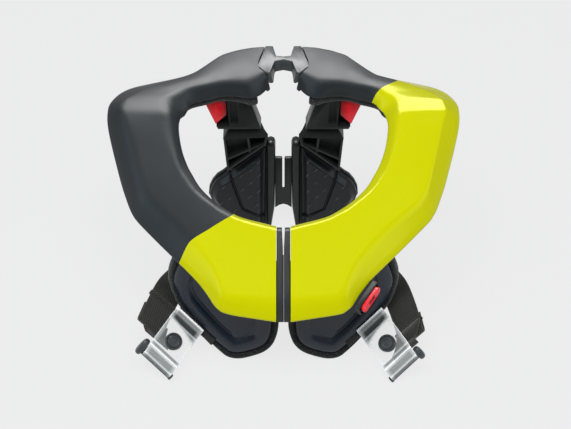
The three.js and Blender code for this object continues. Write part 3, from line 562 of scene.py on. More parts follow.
# signed distances in plan from a line of five points, whose end stretches run on
def paintDistance(points, line):
    ends = np.array(line)[:, :2]
    result = []
    for p in points:
        distances = []
        for k, (a, b) in enumerate(zip(ends, ends[1:])):
            d = b - a
            t = np.dot(p[:2] - a, d) / np.dot(d, d)
            t = max(t, 0) if k else t
            t = min(t, 1) if k < len(ends) - 2 else t
            offset = p[:2] - (a + d * t)
            distances.append(math.copysign(np.hypot(*offset), d[0] * offset[1] - d[1] * offset[0]))
        result.append(min(distances, key=abs))
    return np.array(result)


def sectionGrid(last, crease, change=list):
    rows = [change(collarRow(collarKeyRows, u, crease["rows"])) for u in rowPlaces(last)]
    return np.array([sectionLine(row, crease) for row in rows])


def makeShells():
    for side in sides:
        grid = sectionGrid(len(collarKeyRows) - 1, creases[side])
        points, faces = loft(sheetLoops(grid, gridNormals(grid, 4), 0, collar["wall"]))
        line = [easedAt(collarKeyRows[:, j], u, collar["paintSoft"]) for j, u in enumerate(paintLines[side])]
        front = paintDistance([collarKeyRows[0][2]], line)[0]
        paint = paintDistance(points, line) * math.copysign(1, front)
        slot = {"left": "collar_lime", "right": "collar_slate"}[side]
        oneSide(side, "shell", points, faces, "paint", slot, "collar_shell", {"paint": paint})


def liningRow(row):
    show = lining["show"] * float(np.interp(row[0][1], profileReaches, profile["show"]))
    down = unit(row[0] - row[1])
    back = unit(row[3] - row[4])
    return [row[0] + down * show, row[1], row[2], row[3], row[4] + back * lining["inset"]]


def makeLinings():
    grid = sectionGrid(len(collarKeyRows) - 2, creases["right"], liningRow)
    normals = gridNormals(grid, 1)
    normals[-1] = normals[-2]
    top = collar["wall"] + lining["gap"]
    points, faces = loft(sheetLoops(grid, normals, top, top + lining["thick"]))
    for piece in eachSide("lining", points, faces, "piping", "foam", "collar_liner"):
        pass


collarKeyRows = collarKeys()
makeCamera(shiftY)
makeShells()
makeLinings()
print("collar made")


# what lies over a point, seen from straight below, for tucking the pads under the collar
def coverTree():
    points, faces = [], []
    for name in ("lining_left", "shell_left"):
        mesh = bpy.data.objects[name].data
        faces += [[start + len(points) for start in face.vertices] for face in mesh.polygons]
        points += [v.co.copy() for v in mesh.vertices]
    return BVHTree.FromPolygons(points, faces)


cover = coverTree()


def tucked(points, clearance=0.6 * mm):
    result = []
    for x, y, z in points:
        hit = cover.ray_cast(Vector((abs(x), y + shiftY, 0)), Vector((0, 0, 1)))[0]
        result.append((x, y, min(z, hit.z - clearance) if hit else z))
    return result


# flat outlines in x and z

def roundOutline(corners, radius, count):
    corners = np.array(corners, float)
    line = []
    for i, here in enumerate(corners):
        ends = []
        for other in (corners[i - 1], corners[(i + 1) % len(corners)]):
            length = np.linalg.norm(other - here)
            ends.append(here + (other - here) / length * min(radius, 0.48 * length))
        line += [arc(ends[0], here, ends[1], t) for t in np.linspace(0, 1, 7)]
    closed = np.vstack([line, line[:1]])
    places = np.linspace(0, runOf(closed)[-1], count, endpoint=False)
    return np.stack([np.interp(places, runOf(closed), closed[:, k]) for k in (0, 1)], axis=1)


def runOf(line):
    return np.concatenate([[0], np.cumsum(np.linalg.norm(np.diff(line, axis=0), axis=1))])


def distanceTo(points, line, closed=False):
    ends = np.vstack([line, line[:1]]) if closed else np.array(line, float)
    best = np.full(len(points), np.inf)
    for a, b in zip(ends, ends[1:]):
        d = b - a
        t = np.clip((points - a) @ d / (d @ d), 0, 1)
        best = np.minimum(best, np.linalg.norm(points - a - t[:, None] * d, axis=1))
    return best


def eased(value, low, high):
    t = np.clip((value - low) / (high - low), 0, 1)
    return t * t * (3 - 2 * t)


def lipDepth(edge, lip):
    return lip - np.sqrt(np.maximum(lip ** 2 - np.maximum(lip - edge, 0) ** 2, 0))


edgeRings = [0, 0.25, 0.6, 1, 1.5, 2.1, 2.8, 3.5, 4.3, 5.1, 6]
padBacks = (0.35, 0.7, 0.95)


def standing(flat, y):
    return np.stack([flat[:, 0], y, flat[:, 1]], axis=1)


# a pad: its front is front(points, edge distance), its sides go through walls of (inset, depth)
def padMesh(outline, centre, face, front, walls, rings):
    toCentre = np.array(centre) - outline
    span = np.linalg.norm(toCentre, axis=1)[:, None]
    aim = toCentre / span
    start = edgeRings[-1] * mm
    flats = [outline + aim * d * mm for d in edgeRings]
    flats += [outline + aim * (start + (span - start) * f) for f in np.linspace(0, 0.97, rings)[1:]]
    loops = []
    for flat in reversed(flats):
        loops.append(standing(flat, face(flat) + front(flat, distanceTo(flat, outline, True))))
    for inset, depth in walls + [(span * share, walls[-1][1]) for share in padBacks]:
        flat = outline + aim * inset
        loops.append(standing(flat, face(flat) + depth))
    return loft(loops)


def thickRibbon(centres, acrosses, normals, width, thick, closed=False):
    half = (width - thick) / 2
    shares = np.linspace(-1, 1, 9)
    turn = [math.pi / 2 - math.pi * k / 4 for k in range(1, 4)]
    section = [(s * half, thick / 2) for s in shares]
    section += [(half + math.cos(t) * thick / 2, math.sin(t) * thick / 2) for t in turn]
    section += [(-u, -v) for u, v in section]
    loops, cloth = [], []
    run = 0
    for i, (c, a, n) in enumerate(zip(centres, acrosses, normals)):
        run += np.linalg.norm(c - centres[i - 1]) if i else 0
        loops.append([c + a * u + n * v for u, v in section])
        cloth += [(run, u, 0) for u, v in section]
    points, faces = loft(loops + loops[:1] if closed else loops, not closed)
    if closed:
        total = len(loops) * len(section)
        faces = [tuple(v % total for v in face) for face in faces]
        points = points[:total]
    return points, faces, cloth


# a turned shape from (radius, height) pairs about an axis
def turned(profileLine, foot, axis, sidesCount):
    axis = unit(np.array(axis))
    side = unit(np.cross(axis, (0.3, 0.5, 0.81)))  # any direction off the axis does
    other = np.cross(axis, side)
    ring = [2 * math.pi * k / sidesCount for k in range(sidesCount)]
    return loft([[foot + axis * height + (side * math.cos(t) + other * math.sin(t)) * radius for t in ring]
                 for radius, height in profileLine])


# chest pads

chest = {
    "width": 94 * mm, "height": 92 * mm, "set": 28 * mm, "wrap": 22 * mm, "lean": 0.17, "rim": 4.6 * mm,
    "plate": 3 * mm, "foam": 11 * mm, "gap": 0.4 * mm, "centre": (0.5, 0.5), "round": 9 * mm,
    "lip": 1.5 * mm, "border": 12.5 * mm, "borderCrown": 1.9 * mm, "crownPower": 0.8,
    "outerFrom": (0.52, 0.74),
    "groove": 1.9 * mm, "grooveWide": 1.7 * mm, "grooveIn": 1.2 * mm, "panelDeep": 1.2 * mm,
    "panelLeast": 0.4, "panelEase": 5 * mm, "plateWalls": [(0, 2.2), (0.3, 2.8), (0.8, 3)], "roll": 2.2 * mm,
    "foamWalls": [(-0.4, 1.2), (0, 3), (-0.5, 5.5), (0, 8), (0.8, 10), (2.4, 11)],
    "middleOut": 1.4 * mm, "middleFrom": (-0.32, -0.05), "middleLow": (-0.6, -0.15),
    "footOut": 3.2 * mm, "footTo": (3 * mm, 26 * mm), "footEdge": (2 * mm, 4.4 * mm),
    "columns": [(0.05, 0.36, 0.9), (0.069, 0.245, 0.95), (0.101, 0.163, 0.975), (0.17, 0.092, 0.985),
                (0.28, 0.04, 0.99), (0.385, 0, 1), (0.49, 0, 1), (0.565, 0.06, 1),
                (0.66, 0.134, 1), (0.8, 0.277, 0.99), (0.925, 0.413, 0.9), (0.968, 0.51, 0.8),
                (0.997, 0.62, 0.7)],
}
chestScale = np.array([chest["width"], chest["height"]])


def chestFace(flat):
    x, z = np.asarray(flat).T
    return chest["set"] - collar["frontReach"] + chest["wrap"] * (x / chest["width"]) ** 2 + chest["lean"] * z


def chestOutline():
    columns = chest["columns"]
    corners = [(x, low) for x, low, high in columns] + [(x, high) for x, low, high in reversed(columns)]
    return roundOutline(np.array(corners) * chestScale, chest["round"], count=220)


def insetOutline(outline, distance):
    travel = np.roll(outline, -1, axis=0) - np.roll(outline, 1, axis=0)
    inward = unitRows(np.stack([-travel[:, 1], travel[:, 0]], axis=1))
    return outline + inward * distance


# the foam stands out further towards its foot and the middle
def footOutline(outline):
    x, z = (outline / chestScale).T
    toMiddle = eased(-x, *chest["middleFrom"]) * eased(-z, *chest["middleLow"])
    return outline - np.stack([toMiddle * chest["middleOut"], 0 * z], axis=1)


def plateFront(flat, edge):
    x, z = (flat / chestScale).T
    border = chest["border"]
    depth = lipDepth(edge, chest["lip"])
    depth -= chest["borderCrown"] * np.sin(np.pi * np.clip(edge / border, 0, 1)) ** chest["crownPower"]
    outer = eased(x + z, *chest["outerFrom"])
    across = (edge - border - chest["grooveIn"]) / chest["grooveWide"]
    depth += outer * chest["groove"] * np.exp(-across ** 2)
    panel = eased(edge, border, border + chest["panelEase"])
    return depth + chest["panelDeep"] * panel * (chest["panelLeast"] + (1 - chest["panelLeast"]) * outer)


def foamFront(flat, edge):
    roll = chest["roll"]
    rise = np.sqrt(np.maximum(1 - ((edge - roll) / roll) ** 2, 0))
    foot = (1 - eased(flat[:, 1], *chest["footTo"])) * (1 - eased(edge, *chest["footEdge"]))
    return chest["plate"] + chest["gap"] - roll * rise * (edge < 2 * roll) - chest["footOut"] * foot


def makeChestPads():
    outline = chestOutline()
    plateLine = insetOutline(outline, chest["rim"])
    centre = chest["centre"] * chestScale
    walls = [(inset * mm, depth * mm) for inset, depth in chest["plateWalls"]]
    points, faces = padMesh(plateLine, centre, chestFace, plateFront, walls, rings=40)
    eachSide("chestPlate", tucked(points), faces, "chest", "pad_face", "chest_plate")
    behind = chest["plate"] + chest["gap"]
    walls = [(inset * mm, behind + depth * mm) for inset, depth in chest["foamWalls"]]
    points, faces = padMesh(footOutline(outline), centre, chestFace, foamFront, walls, rings=16)
    for piece in eachSide("chestFoam", tucked(points), faces, "piping", "foam", "chest_foam"):
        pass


# shoulder-blade pads

blade = {
    "width": 65 * mm, "height": 102 * mm, "set": 29 * mm, "gap": 0.4 * mm, "pad": 10 * mm, "lip": 1.2 * mm,
    "bevel": 5.2 * mm, "bevelFrom": 0.6 * mm, "slope": 6 * mm, "round": 6 * mm, "centre": (0.56, 0.42),
    "groove": 2 * mm, "grooveWide": 1.1 * mm, "crown": 0.5 * mm, "crownTo": (6 * mm, 22 * mm),
    "inset": 1 * mm, "walls": [(0, 9), (0.5, 10)], "flangeFront": 7 * mm, "flangeRound": 3 * mm,
    "outline": [(0.215, 0.925), (0.75, 0.628), (0.812, 0.59), (0.885, 0.556), (0.95, 0.498), (0.995, 0.43),
                (1.005, 0.36), (0.955, 0.28), (0.8, 0.15), (0.64, 0.045), (0.5, 0), (0.24, 0)],
    "line": [(0.715, 0.635), (0.55, 0.27), (0.265, 0.165)],
    "flange": [(0.104, 0.885), (0.12, 0.925), (0.165, 0.94), (0.222, 0.925), (0.222, 0.02), (0.165, 0.03),
               (0.118, 0.24)],
    "spine": [(0.17, 0.9), (0.185, 0.06)],
    "flangeRings": [(0.08, 0), (0.3, 0), (0.6, 0.35), (0.82, 1.3), (0.95, 2.6), (1, 3.9), (1, 6.6),
                    (0.9, 7.2)],
    "marks": [(0.33, 0.77), (0.43, 0.68), (0.32, 0.63), (0.43, 0.55), (0.33, 0.46), (0.45, 0.4), (0.36, 0.31),
              (0.56, 0.62), (0.55, 0.47), (0.72, 0.38), (0.65, 0.25), (0.8, 0.5), (0.83, 0.33), (0.5, 0.13)],
    "mark": {"long": 4 * mm, "wide": 0.5 * mm, "high": 0.35 * mm, "tilt": 50, "sink": 0.45 * mm,
             "levels": [(1, 1, -0.6), (0.99, 0.9, 0.5), (0.96, 0.6, 1)]},
}
bladeY = collar["rearReach"] - blade["set"]
bladeScale = np.array([blade["width"], blade["height"]])
bladeFace = bladeY - blade["gap"] - blade["pad"]


# small slanted dashes raised on the pads; their light grey is a painted highlight on the relief
def makeMarks(side, sign):
    mark = blade["mark"]
    front = bladeFace - mark["sink"]
    tilt = math.radians(mark["tilt"]) * sign
    along = np.array([math.cos(tilt), 0, math.sin(tilt)]) * mark["long"] / 2
    across = np.array([-math.sin(tilt), 0, math.cos(tilt)]) * mark["wide"] / 2
    points, faces = [], []
    for place in blade["marks"]:
        x, z = np.array(place) * bladeScale
        start = len(points)
        for far, wide, lift in mark["levels"]:  # shares of length, width and height
            middle = np.array([x, front - mark["high"] * lift, z])
            for a, b in ((-1, -1), (1, -1), (1, 1), (-1, 1)):
                points.append(middle + along * a * far + across * b * wide)
        for first in (start, start + 4):
            faces += [tuple(first + v for v in (k, (k + 1) % 4, (k + 1) % 4 + 4, k + 4)) for k in range(4)]
        faces += [tuple(start + v for v in (3, 2, 1, 0)), tuple(start + v for v in (8, 9, 10, 11))]
    oneSide(side, "padMarks", points, faces, "mark", "pad_face", angle=0)


def makeBladePads():
    outline = roundOutline(np.array(blade["outline"]) * bladeScale, blade["round"], count=200)
    outline = insetOutline(outline, -blade["inset"])
    groove = np.array(blade["line"]) * bladeScale

    def front(flat, edge):
        depth = lipDepth(edge, blade["lip"])
        depth += blade["bevel"] * (1 - eased(edge, blade["bevelFrom"], blade["bevelFrom"] + blade["slope"]))
        depth += blade["groove"] * np.exp(-(distanceTo(flat, groove) / blade["grooveWide"]) ** 4)
        return depth - blade["crown"] * eased(edge, *blade["crownTo"])

    walls = [(inset * mm, depth * mm) for inset, depth in blade["walls"]]
    points, faces = padMesh(outline, blade["centre"] * bladeScale,
                            lambda flat: np.full(len(flat), bladeFace), front, walls, rings=60)
    eachSide("bladePad", points, faces, "pad", "pad_face", "scapula_pad")
    for side, sign in sides.items():
        makeMarks(side, sign)

    outline = roundOutline(np.array(blade["flange"]) * bladeScale, blade["flangeRound"], count=160)
    spine = np.array(blade["spine"]) * bladeScale
    rise = np.clip((outline[:, 1] - spine[1, 1]) / (spine[0, 1] - spine[1, 1]), 0, 1)[:, None]
    middle = spine[1] + (spine[0] - spine[1]) * rise
    loops = []
    for share, depth in blade["flangeRings"]:
        flat = middle + (outline - middle) * share
        loops.append(standing(flat, np.full(len(flat), bladeY - blade["flangeFront"]) + depth * mm))
    points, faces = loft(loops)
    eachSide("padEdge", points, faces, "nylon", "nylon", angle=50)


# straps

strap = {
    "route": [(0.851, 0.87, None), (0.968, 0.674, None), (1.086, 0.489, None), (1.17, 0.402, 0.3),
              (1.234, 0.304, 18.8)],
    "across": (-0.74, -0.28, -0.61), "width": 25 * mm, "thick": 1.8 * mm, "steps": 14,
    "ends": {"left": 3.86, "right": 3.62}, "spread": {"left": -2.2, "right": 4.5},
    "fold": {"radius": 2.2 * mm, "steps": 7, "back": 15 * mm, "backSteps": 8},
    "keeper": {"left": 0.87, "right": 0.64, "wide": 3.4 * mm, "wall": 1.1 * mm, "spare": 0.9 * mm,
               "corner": 1.2 * mm},
}
# the folded strap tails: (along the strap, outwards, forwards) in millimetres from a place on the route
tails = {
    "left": {"from": 0.885, "path": [(-1, 0, 1.7), (0.8, 0, 2.9), (3.5, -0.6, 3.9), (6.5, -2.6, 3.7),
                                     (9, -5.5, 2.7), (10.5, -7.5, 2.4), (12.5, -8, 3.4), (15, -7, 4.8),
                                     (18, -5.6, 5.4)]},
    "right": {"from": 0.905, "path": [(-9, -2, -2.6), (-4, -3, -3), (0, -4.5, -3.2), (3, -6.5, -3),
                                      (5.5, -9, -2.4)]},
}
band = {
    "root": [(0.67, 0.228, 4), (0.894, 0.413, 4.5)], "down": (0.545, -0.757, -0.352),
    "length": {"left": 44.4, "right": 42.0}, "wide": {"left": 0.98, "right": 1.01},
    "cap": {"left": {"size": 1.05, "in": 0.6, "up": 1.0}, "right": {"size": 1.35, "in": -0.4, "up": 3.2}},
    "shift": {"left": (-1, 0, 0.1), "right": (4.4, 0, 0.4)},
    "thick": 1.3 * mm, "roll": 3.7 * mm, "studAt": (0.5, 0.5), "rodLow": 2.3 * mm, "rodBack": 1.3 * mm,
    "turns": 15, "turnStep": 18, "turnRun": 1.16,
    "line": [(-2.6, 2.6), (-2.2, 3), (-1.7, 3.1), (-1.2, 3), (-0.6, 2.6), (0, 2), (0.8, 1), (1.6, 0.1),
             (2.4, -0.6), (3.3, -1.1), (4.2, -1.3), (5, -1.2), (6, -0.8), (6.8, -0.4), (7.6, -0.1), (8.6, 0),
             (10, 0), (12, 0), (16, 0), (22, 0)],
    "rise": [(-18, 0), (-14, 0), (-12, 0.2), (-10.8, 0.5), (-9.6, 1), (-8.6, 1.6), (-7.6, 2.3), (-6.6, 2.9),
             (-5.6, 3.3), (-4.4, 3.6), (-3, 3.7), (-1.5, 3.7)],
    # painted shade and painted highlight streaks: (place, half width, weight) from the band's root and from
    # its foot
    "paintedShadeNear": [(2.4, 1.7, 1.2), (5.4, 0.9, 0.7)], "brightNear": [(-2.2, 0.8, 1.2), (7.2, 0.4, 0.8)],
    "paintedShadeFar": [(-8.4, 1.1, 0.9), (-2.5, 1.5, 0.8), (1.5, 0.8, 0.7), (8.4, 2.2, 1.1), (14, 3, 0.9)],
    "brightFar": [(-10.4, 0.5, 0.7), (-5.7, 0.7, 0.9), (0, 0.5, 0.9), (3.8, 0.5, 0.8)],
    # a painted fold shadow slanting across the band, and a painted highlight along both its edges
    "facet": {"from": 3, "slant": 4.4, "half": 0.4, "spread": 3.7, "weight": 0.9},
    "edge": {"half": 0.7 * mm, "weight": 0.7},
    # turned pieces: (radius, height) in millimetres
    "shaft": [(0.01, -1.8), (2.2, -1.8), (2.7, -1.3), (2.8, -0.5), (2.5, 0), (2.3, 0.3)],
    "knob": [(0.01, 0.2), (4.2, 0.2), (5.1, 0.7), (5.6, 1.6), (5.6, 3.4), (5.2, 4.6), (3.9, 5.5), (2, 5.8),
             (0.01, 5.8)],
    "stud": [(0.01, -2.6), (6.3, -2.6), (6.8, -2.2), (6.8, -0.9), (3, -0.75), (3, 0.75), (6.9, 0.85),
             (7.2, 1.2), (7.2, 2), (6.8, 2.5), (6.2, 2.6), (5.8, 2.3), (5.5, 1.9), (5.2, 2), (5, 2.7),
             (4.4, 3.2), (2.4, 3.45), (2.2, 2.9), (0.9, 2.8), (0.01, 2.8)],
    "tab": {"from": -0.55, "low": 0.015, "ahead": 1 * mm, "wave": 0.5 * mm, "waves": 9, "wide": 7 * mm,
            "thick": 2 * mm},
}


def strapFace(x, z):
    return float(chestFace([(min(x, chest["width"]), z)])[0])


def webRows():
    across = unit(np.array(strap["across"]))
    behind = chest["plate"] + chest["foam"] + strap["thick"] + 2 * chest["gap"]
    rows = []
    for x, z, ahead in strap["route"]:
        edge = np.array([x, 0, z]) * (chest["width"], 1, chest["height"])
        row = []
        for t in (0, 0.5, 1):
            p = edge + across * strap["width"] * t
            if ahead is None:
                p[1] = strapFace(p[0], p[2]) + behind
            else:
                p[1] = strapFace(edge[0], edge[2]) - ahead * mm + across[1] * strap["width"] * t
            p[1] += strap["thick"] / 2
            row.append(p)
        rows.append(row)
    return np.array(rows)


def webFrames(end, side):
    rows = webRows()
    centres, acrosses = [], []
    for u in np.linspace(0, end, (len(rows) - 1) * strap["steps"] + 1):
        a, m, b = [curveAt(rows[:, j], u) for j in range(3)]
        acrosses.append(unit(a - b))
        centres.append(m + acrosses[-1] * strap["spread"][side] * mm * (u / end) ** 2)
    return centres, acrosses


def ribbonNormals(centres, acrosses, forwards=True):
    normals = unitRows(np.cross(np.gradient(np.array(centres), axis=0), np.array(acrosses)))
    return -normals if forwards and normals[:, 1].mean() > 0 else normals


def ribbonPiece(side, name, node, ribbon, width=strap["width"], thick=strap["thick"], closed=False, angle=50):
    points, faces, cloth = thickRibbon(*ribbon, width, thick, closed)
    oneSide(side, name, points, faces, "webbing", "webbing", node, {"cloth": cloth}, angle)


def makeWebbing():
    fold = strap["fold"]
    for side in sides:
        centres, acrosses = webFrames(strap["ends"][side], side)
        normals = list(ribbonNormals(centres, acrosses))
        ahead = unit(centres[-1] - centres[-2])
        front = normals[-1]
        hub = centres[-1] - front * fold["radius"]
        for k in range(1, fold["steps"] + 1):
            t = math.pi * k / fold["steps"]
            normals.append(front * math.cos(t) + ahead * math.sin(t))
            centres.append(hub + normals[-1] * fold["radius"])
        for k in range(fold["backSteps"]):
            centres.append(centres[-1] - ahead * fold["back"] / fold["backSteps"])
            normals.append(-front)
        acrosses += [acrosses[-1]] * (fold["steps"] + fold["backSteps"])
        ribbonPiece(side, "webbing", "strap_webbing", (centres, acrosses, normals))


def makeTails():
    for side in sides:
        centres, acrosses = webFrames(len(strap["route"]) - 1, side)
        normals = ribbonNormals(centres, acrosses)
        i = round(tails[side]["from"] * (len(centres) - 1))
        ahead = unit(centres[i] - centres[i - 1])
        keys = np.array([centres[i] + (ahead * s + acrosses[i] * w + normals[i] * h) * mm
                         for s, w, h in tails[side]["path"]])
        line = [curveAt(keys, u) for u in np.linspace(0, len(keys) - 1, 60)]
        across = [acrosses[i]] * len(line)
        ribbon = (line, across, ribbonNormals(line, across, False))
        ribbonPiece(side, "strapTail", None, ribbon)


def makeKeepers():
    spec = strap["keeper"]
    for side in sides:
        centres, acrosses = webFrames(len(strap["route"]) - 1, side)
        i = round(spec[side] * (len(centres) - 1))
        across, normal = acrosses[i], ribbonNormals(centres, acrosses, False)[i]
        halfWide = strap["width"] / 2 + spec["spare"] - spec["corner"]
        halfDeep = strap["thick"] / 2 + spec["spare"] - spec["corner"]
        ring, turns = [], []
        for cx, cz, first in ((1, 1, 0), (-1, 1, 90), (-1, -1, 180), (1, -1, 270)):
            for a in range(0, 91, 18):
                t = math.radians(first + a)
                u = cx * halfWide + math.cos(t) * spec["corner"]
                v = cz * halfDeep + math.sin(t) * spec["corner"]
                ring.append(centres[i] + across * u + normal * v)
                turns.append(across * math.cos(t) + normal * math.sin(t))
        ribbon = (ring, [np.cross(across, normal)] * len(ring), turns)
        ribbonPiece(side, "keeper", "strap_keeper", ribbon, spec["wide"], spec["wall"], True)


def bandFrame(side):
    tops = []
    for x, z, ahead in band["root"]:
        px, pz = x * chest["width"], z * chest["height"]
        tops.append(np.array([px, strapFace(px, pz) - ahead * mm, pz]))
    down = unit(np.array(band["down"]))
    across = tops[1] - tops[0]
    width = np.linalg.norm(across)
    across /= width
    width *= band["wide"][side]
    normal = unit(np.cross(across, down))
    if normal[1] > 0:
        normal = -normal
    return tops[0] + np.array(band["shift"][side]) * mm, across, down, normal, width


# the band's side line: (along, forwards) in millimetres, then round the roll at its foot
def bandPath(long):
    path = [(s * mm, h * mm) for s, h in band["line"]]
    path += [((s + long) * mm, h * mm) for s, h in band["rise"]]
    straight = len(path)
    places = [s / mm for s, h in path]
    for k in range(band["turns"]):
        t = math.radians(90 - k * band["turnStep"])
        path.append((long * mm + band["roll"] * math.cos(t), band["roll"] * math.sin(t)))
        places.append(long + (k + 1) * band["turnRun"])
    return path, np.array(places), straight


# painted shade or highlight along the band, summed from the listed spots
def paintedStreaks(places, long, tone):
    value = np.zeros(len(places))
    for spots, start in ((band[f"{tone}Near"], 0), (band[f"{tone}Far"], long)):
        for centre, radius, weight in spots:
            value += weight * np.exp(-((places - start - centre) / radius) ** 2)
    return value


def scaled(pairs, size=1):
    return [(r * size * mm, h * mm) for r, h in pairs]


def makeBand(side):
    origin, across, down, normal, width = bandFrame(side)
    long = band["length"][side]
    path, places, straight = bandPath(long)
    centres = [origin + across * width / 2 + down * s + normal * h for s, h in path]
    travel = unitRows(np.gradient(np.array(centres), axis=0))
    normals = np.cross(travel, across)
    if np.dot(normals[straight // 2], normal) < 0:
        normals = -normals
    points, faces, cloth = thickRibbon(centres, [across] * len(centres), normals, width, band["thick"])
    count = len(points) // len(centres)
    offset = np.array([v[1] for v in cloth])
    inner = 0.5 - offset / width
    facet = band["facet"]
    slant = np.repeat(places, count) - facet["from"] - facet["slant"] * inner
    # painted shade and painted highlights on the clear band, kept as vertex attributes
    tones = {
        "paintedShade": np.repeat(paintedStreaks(places, long, "paintedShade"), count)
        + facet["weight"] * np.exp(-(slant / (facet["half"] + facet["spread"] * inner)) ** 4),
        "bright": np.repeat(paintedStreaks(places, long, "bright"), count)
        + band["edge"]["weight"] * np.exp(-((width / 2 - abs(offset)) / band["edge"]["half"]) ** 2),
    }
    tones = {name: np.minimum(tone, 1) for name, tone in tones.items()}
    oneSide(side, "clearBand", points, faces, "clear", "clear", "clear_strap", tones)

    foot = origin + down * (long * mm + band["rodLow"]) - normal * band["rodBack"]
    cap = band["cap"][side]
    end = width / mm - cap["in"]
    points, faces = turned(scaled(band["shaft"] + [(2.3, end + 1), (0.01, end + 1)]), foot, across, 32)
    hub = foot + across * end * mm - down * cap["up"] * mm
    more, rings = turned(scaled(band["knob"], cap["size"]), hub, across, 32)
    faces += [tuple(v + len(points) for v in face) for face in rings]
    oneSide(side, "pin", points + more, faces, "satin", "nylon", "strap_pin", angle=30)

    hub = origin + across * width * band["studAt"][0] + down * long * mm * band["studAt"][1]
    points, faces = turned(scaled(band["stud"]), hub, normal, 48)
    oneSide(side, "stud", points, faces, "satin", "nylon", "strap_stud", angle=30)

    tab = band["tab"]
    centres = []
    for t in np.linspace(tab["from"], 1, 28):
        p = origin + across * t * strap["width"] - down * tab["low"] * strap["width"]
        p[1] = strapFace(p[0], p[2]) - chest["gap"] - tab["ahead"] - tab["wave"] * math.sin(t * tab["waves"])
        centres.append(p)
    acrosses = [down] * len(centres)
    ribbon = (centres, acrosses, ribbonNormals(centres, acrosses))
    ribbonPiece(side, "clothTab", "strap_tab", ribbon, tab["wide"], tab["thick"], angle=40)


# front seam

seam = {"inner": 0.4 * mm, "vee": 1.1 * mm, "veeTo": (8 * mm, 11 * mm), "outer": 5.4 * mm, "sink": 0.6 * mm,
        "soft": 0.7 * mm, "side": 2 * mm, "deep": 12 * mm, "lip": 5 * mm, "lipEnds": 16 * mm, "cap": 0.8 * mm,
        "capEnds": 1.2 * mm, "lipFrom": 24 * mm, "lipFoot": 3.4 * mm}


def makeSeams():
    crease = creases["left"]
    line = np.array(sectionLine(collarRow(collarKeyRows, 0, crease["rows"]), crease))
    normals = np.cross(np.gradient(line, axis=0), (1, 0, 0))
    normals *= (np.copysign(1, normals[:, 2]) / np.linalg.norm(normals, axis=1))[:, None]
    run = runOf(line)

    def across(i, section):
        return [np.array([x, line[i][1], line[i][2]]) - normals[i] * d for x, d in section]

    soft, loops, lip = seam["soft"], [], []
    for i, along in enumerate(run):
        ends = min(along, run[-1] - along)
        deep = seam["lip"] + (seam["deep"] - seam["lip"]) * eased(ends, 0, seam["lipEnds"])
        vee = seam["vee"] - (seam["vee"] - seam["inner"]) * eased(along, *seam["veeTo"])
        top = seam["sink"] + seam["cap"] * (1 - eased(ends, 0, seam["capEnds"]))
        wall = [(0, deep), (0, seam["side"]), (0, top + soft), (soft * 0.3, top + soft * 0.3), (soft, top)]
        loops.append(across(i, [(vee + x, d) for x, d in wall]
                            + [(seam["outer"] - x, d) for x, d in reversed(wall)]))
        if along > seam["lipFrom"]:
            lip.append(across(i, [(share * seam["inner"], d) for share, d in (
                (-1, seam["side"]), (0.6, seam["side"]), (0.6, seam["lipFoot"]), (-1, seam["lipFoot"]))]))
    eachSide("seamStrip", *loft(loops), "strip", "nylon", "front_seam")
    dress(newPiece("seamLip", *loft(lip), "nylon"), "nylon", "right_half")


# mouldings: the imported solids, rounded

neckLean = {"above": 115 * mm, "before": 80 * mm, "back": 9 * mm}
neckSide = {"above": 100 * mm, "behind": 85 * mm, "within": 20 * mm, "out": 6.5 * mm}


# the strut's neck leans back under the block
def leanNeck(place):
    if place.z > neckLean["above"] and place.y < neckLean["before"]:
        place.y += neckLean["back"]
    if place.z > neckSide["above"] and place.y > neckSide["behind"] and abs(place.x) < neckSide["within"]:
        place.x += math.copysign(neckSide["out"], place.x)


# piece, edge radius, finish, slot, reshape
mouldings = {
    "front_strut": ("frontStrut", 1.2 * mm, "nylon", "nylon", None),
    "adjuster_block": ("adjusterBlock", 0.7 * mm, "nylon", "nylon", None),
    "adjuster_lock": ("adjusterLock", 0.6 * mm, "redWedgeShaded", "red", None),
    "rear_strut": ("rearStrut", 0.5 * mm, "nylon", "nylon", leanNeck),
    "release_housing": ("catchHousing", 0.8 * mm, "nylon", "nylon", None),
    "release_button": ("catchButton", 0.7 * mm, "red", "red", None),
}
nodeBody = {node: body for body, nodes in frame["record"]["behaviour"]["bodies"].items() for node in nodes}
well = {"long": 7.2 * mm, "high": 4.2 * mm, "lift": 0.15 * mm, "deep": 0.6 * mm, "lipRow": (2, 4),
        "out": 1.2 * mm, "down": 3.5 * mm, "housing": 5 * mm, "proud": 2.5 * mm, "dish": 1 * mm}


def makeMouldings():
    for family, (name, width, finish, slot, reshape) in mouldings.items():
        for end in [""] if family in nodeBody else ["_left", "_right"]:
            piece = roundedNode(family + end, name + end, width, finish, reshape)
            dress(piece, slot, nodeBody[family + end], family + end)


# the dark well in the middle of the red button: a darker red slab as painted shade in its dip
def makeWell():
    a, b = [collarKeyRows[k][4] for k in well["lipRow"]]
    lengthwise = unit(b - a)
    out = unit(np.cross(lengthwise, (0, 0, 1)))
    up = np.cross(out, lengthwise)
    centre = (a + b) / 2 + out * (well["out"] + well["housing"] + well["proud"] - well["dish"])
    centre -= up * well["down"]
    outline = roundOutline([(-0.5, -0.5), (0.5, -0.5), (0.5, 0.5), (-0.5, 0.5)], 0.12, count=24)
    loops = []
    for lift, share in ((-well["deep"], 1), (0, 1), (well["lift"], 0.94)):
        loops.append([centre + lengthwise * u * well["long"] + up * v * well["high"] + out * lift
                      for u, v in outline * share])
    dress(newPiece("buttonWell", *loft(loops), "redDeep"), "red", "release_button")


# bridges: the pieces between the halves, rounded

bridgeLap = {"beyond": 5 * mm, "out": 0.9 * mm}


# the lower bridge's ends run into the wings
def lapBridge(place):
    if abs(place.x) > bridgeLap["beyond"]:
        place.x += math.copysign(bridgeLap["out"], place.x)


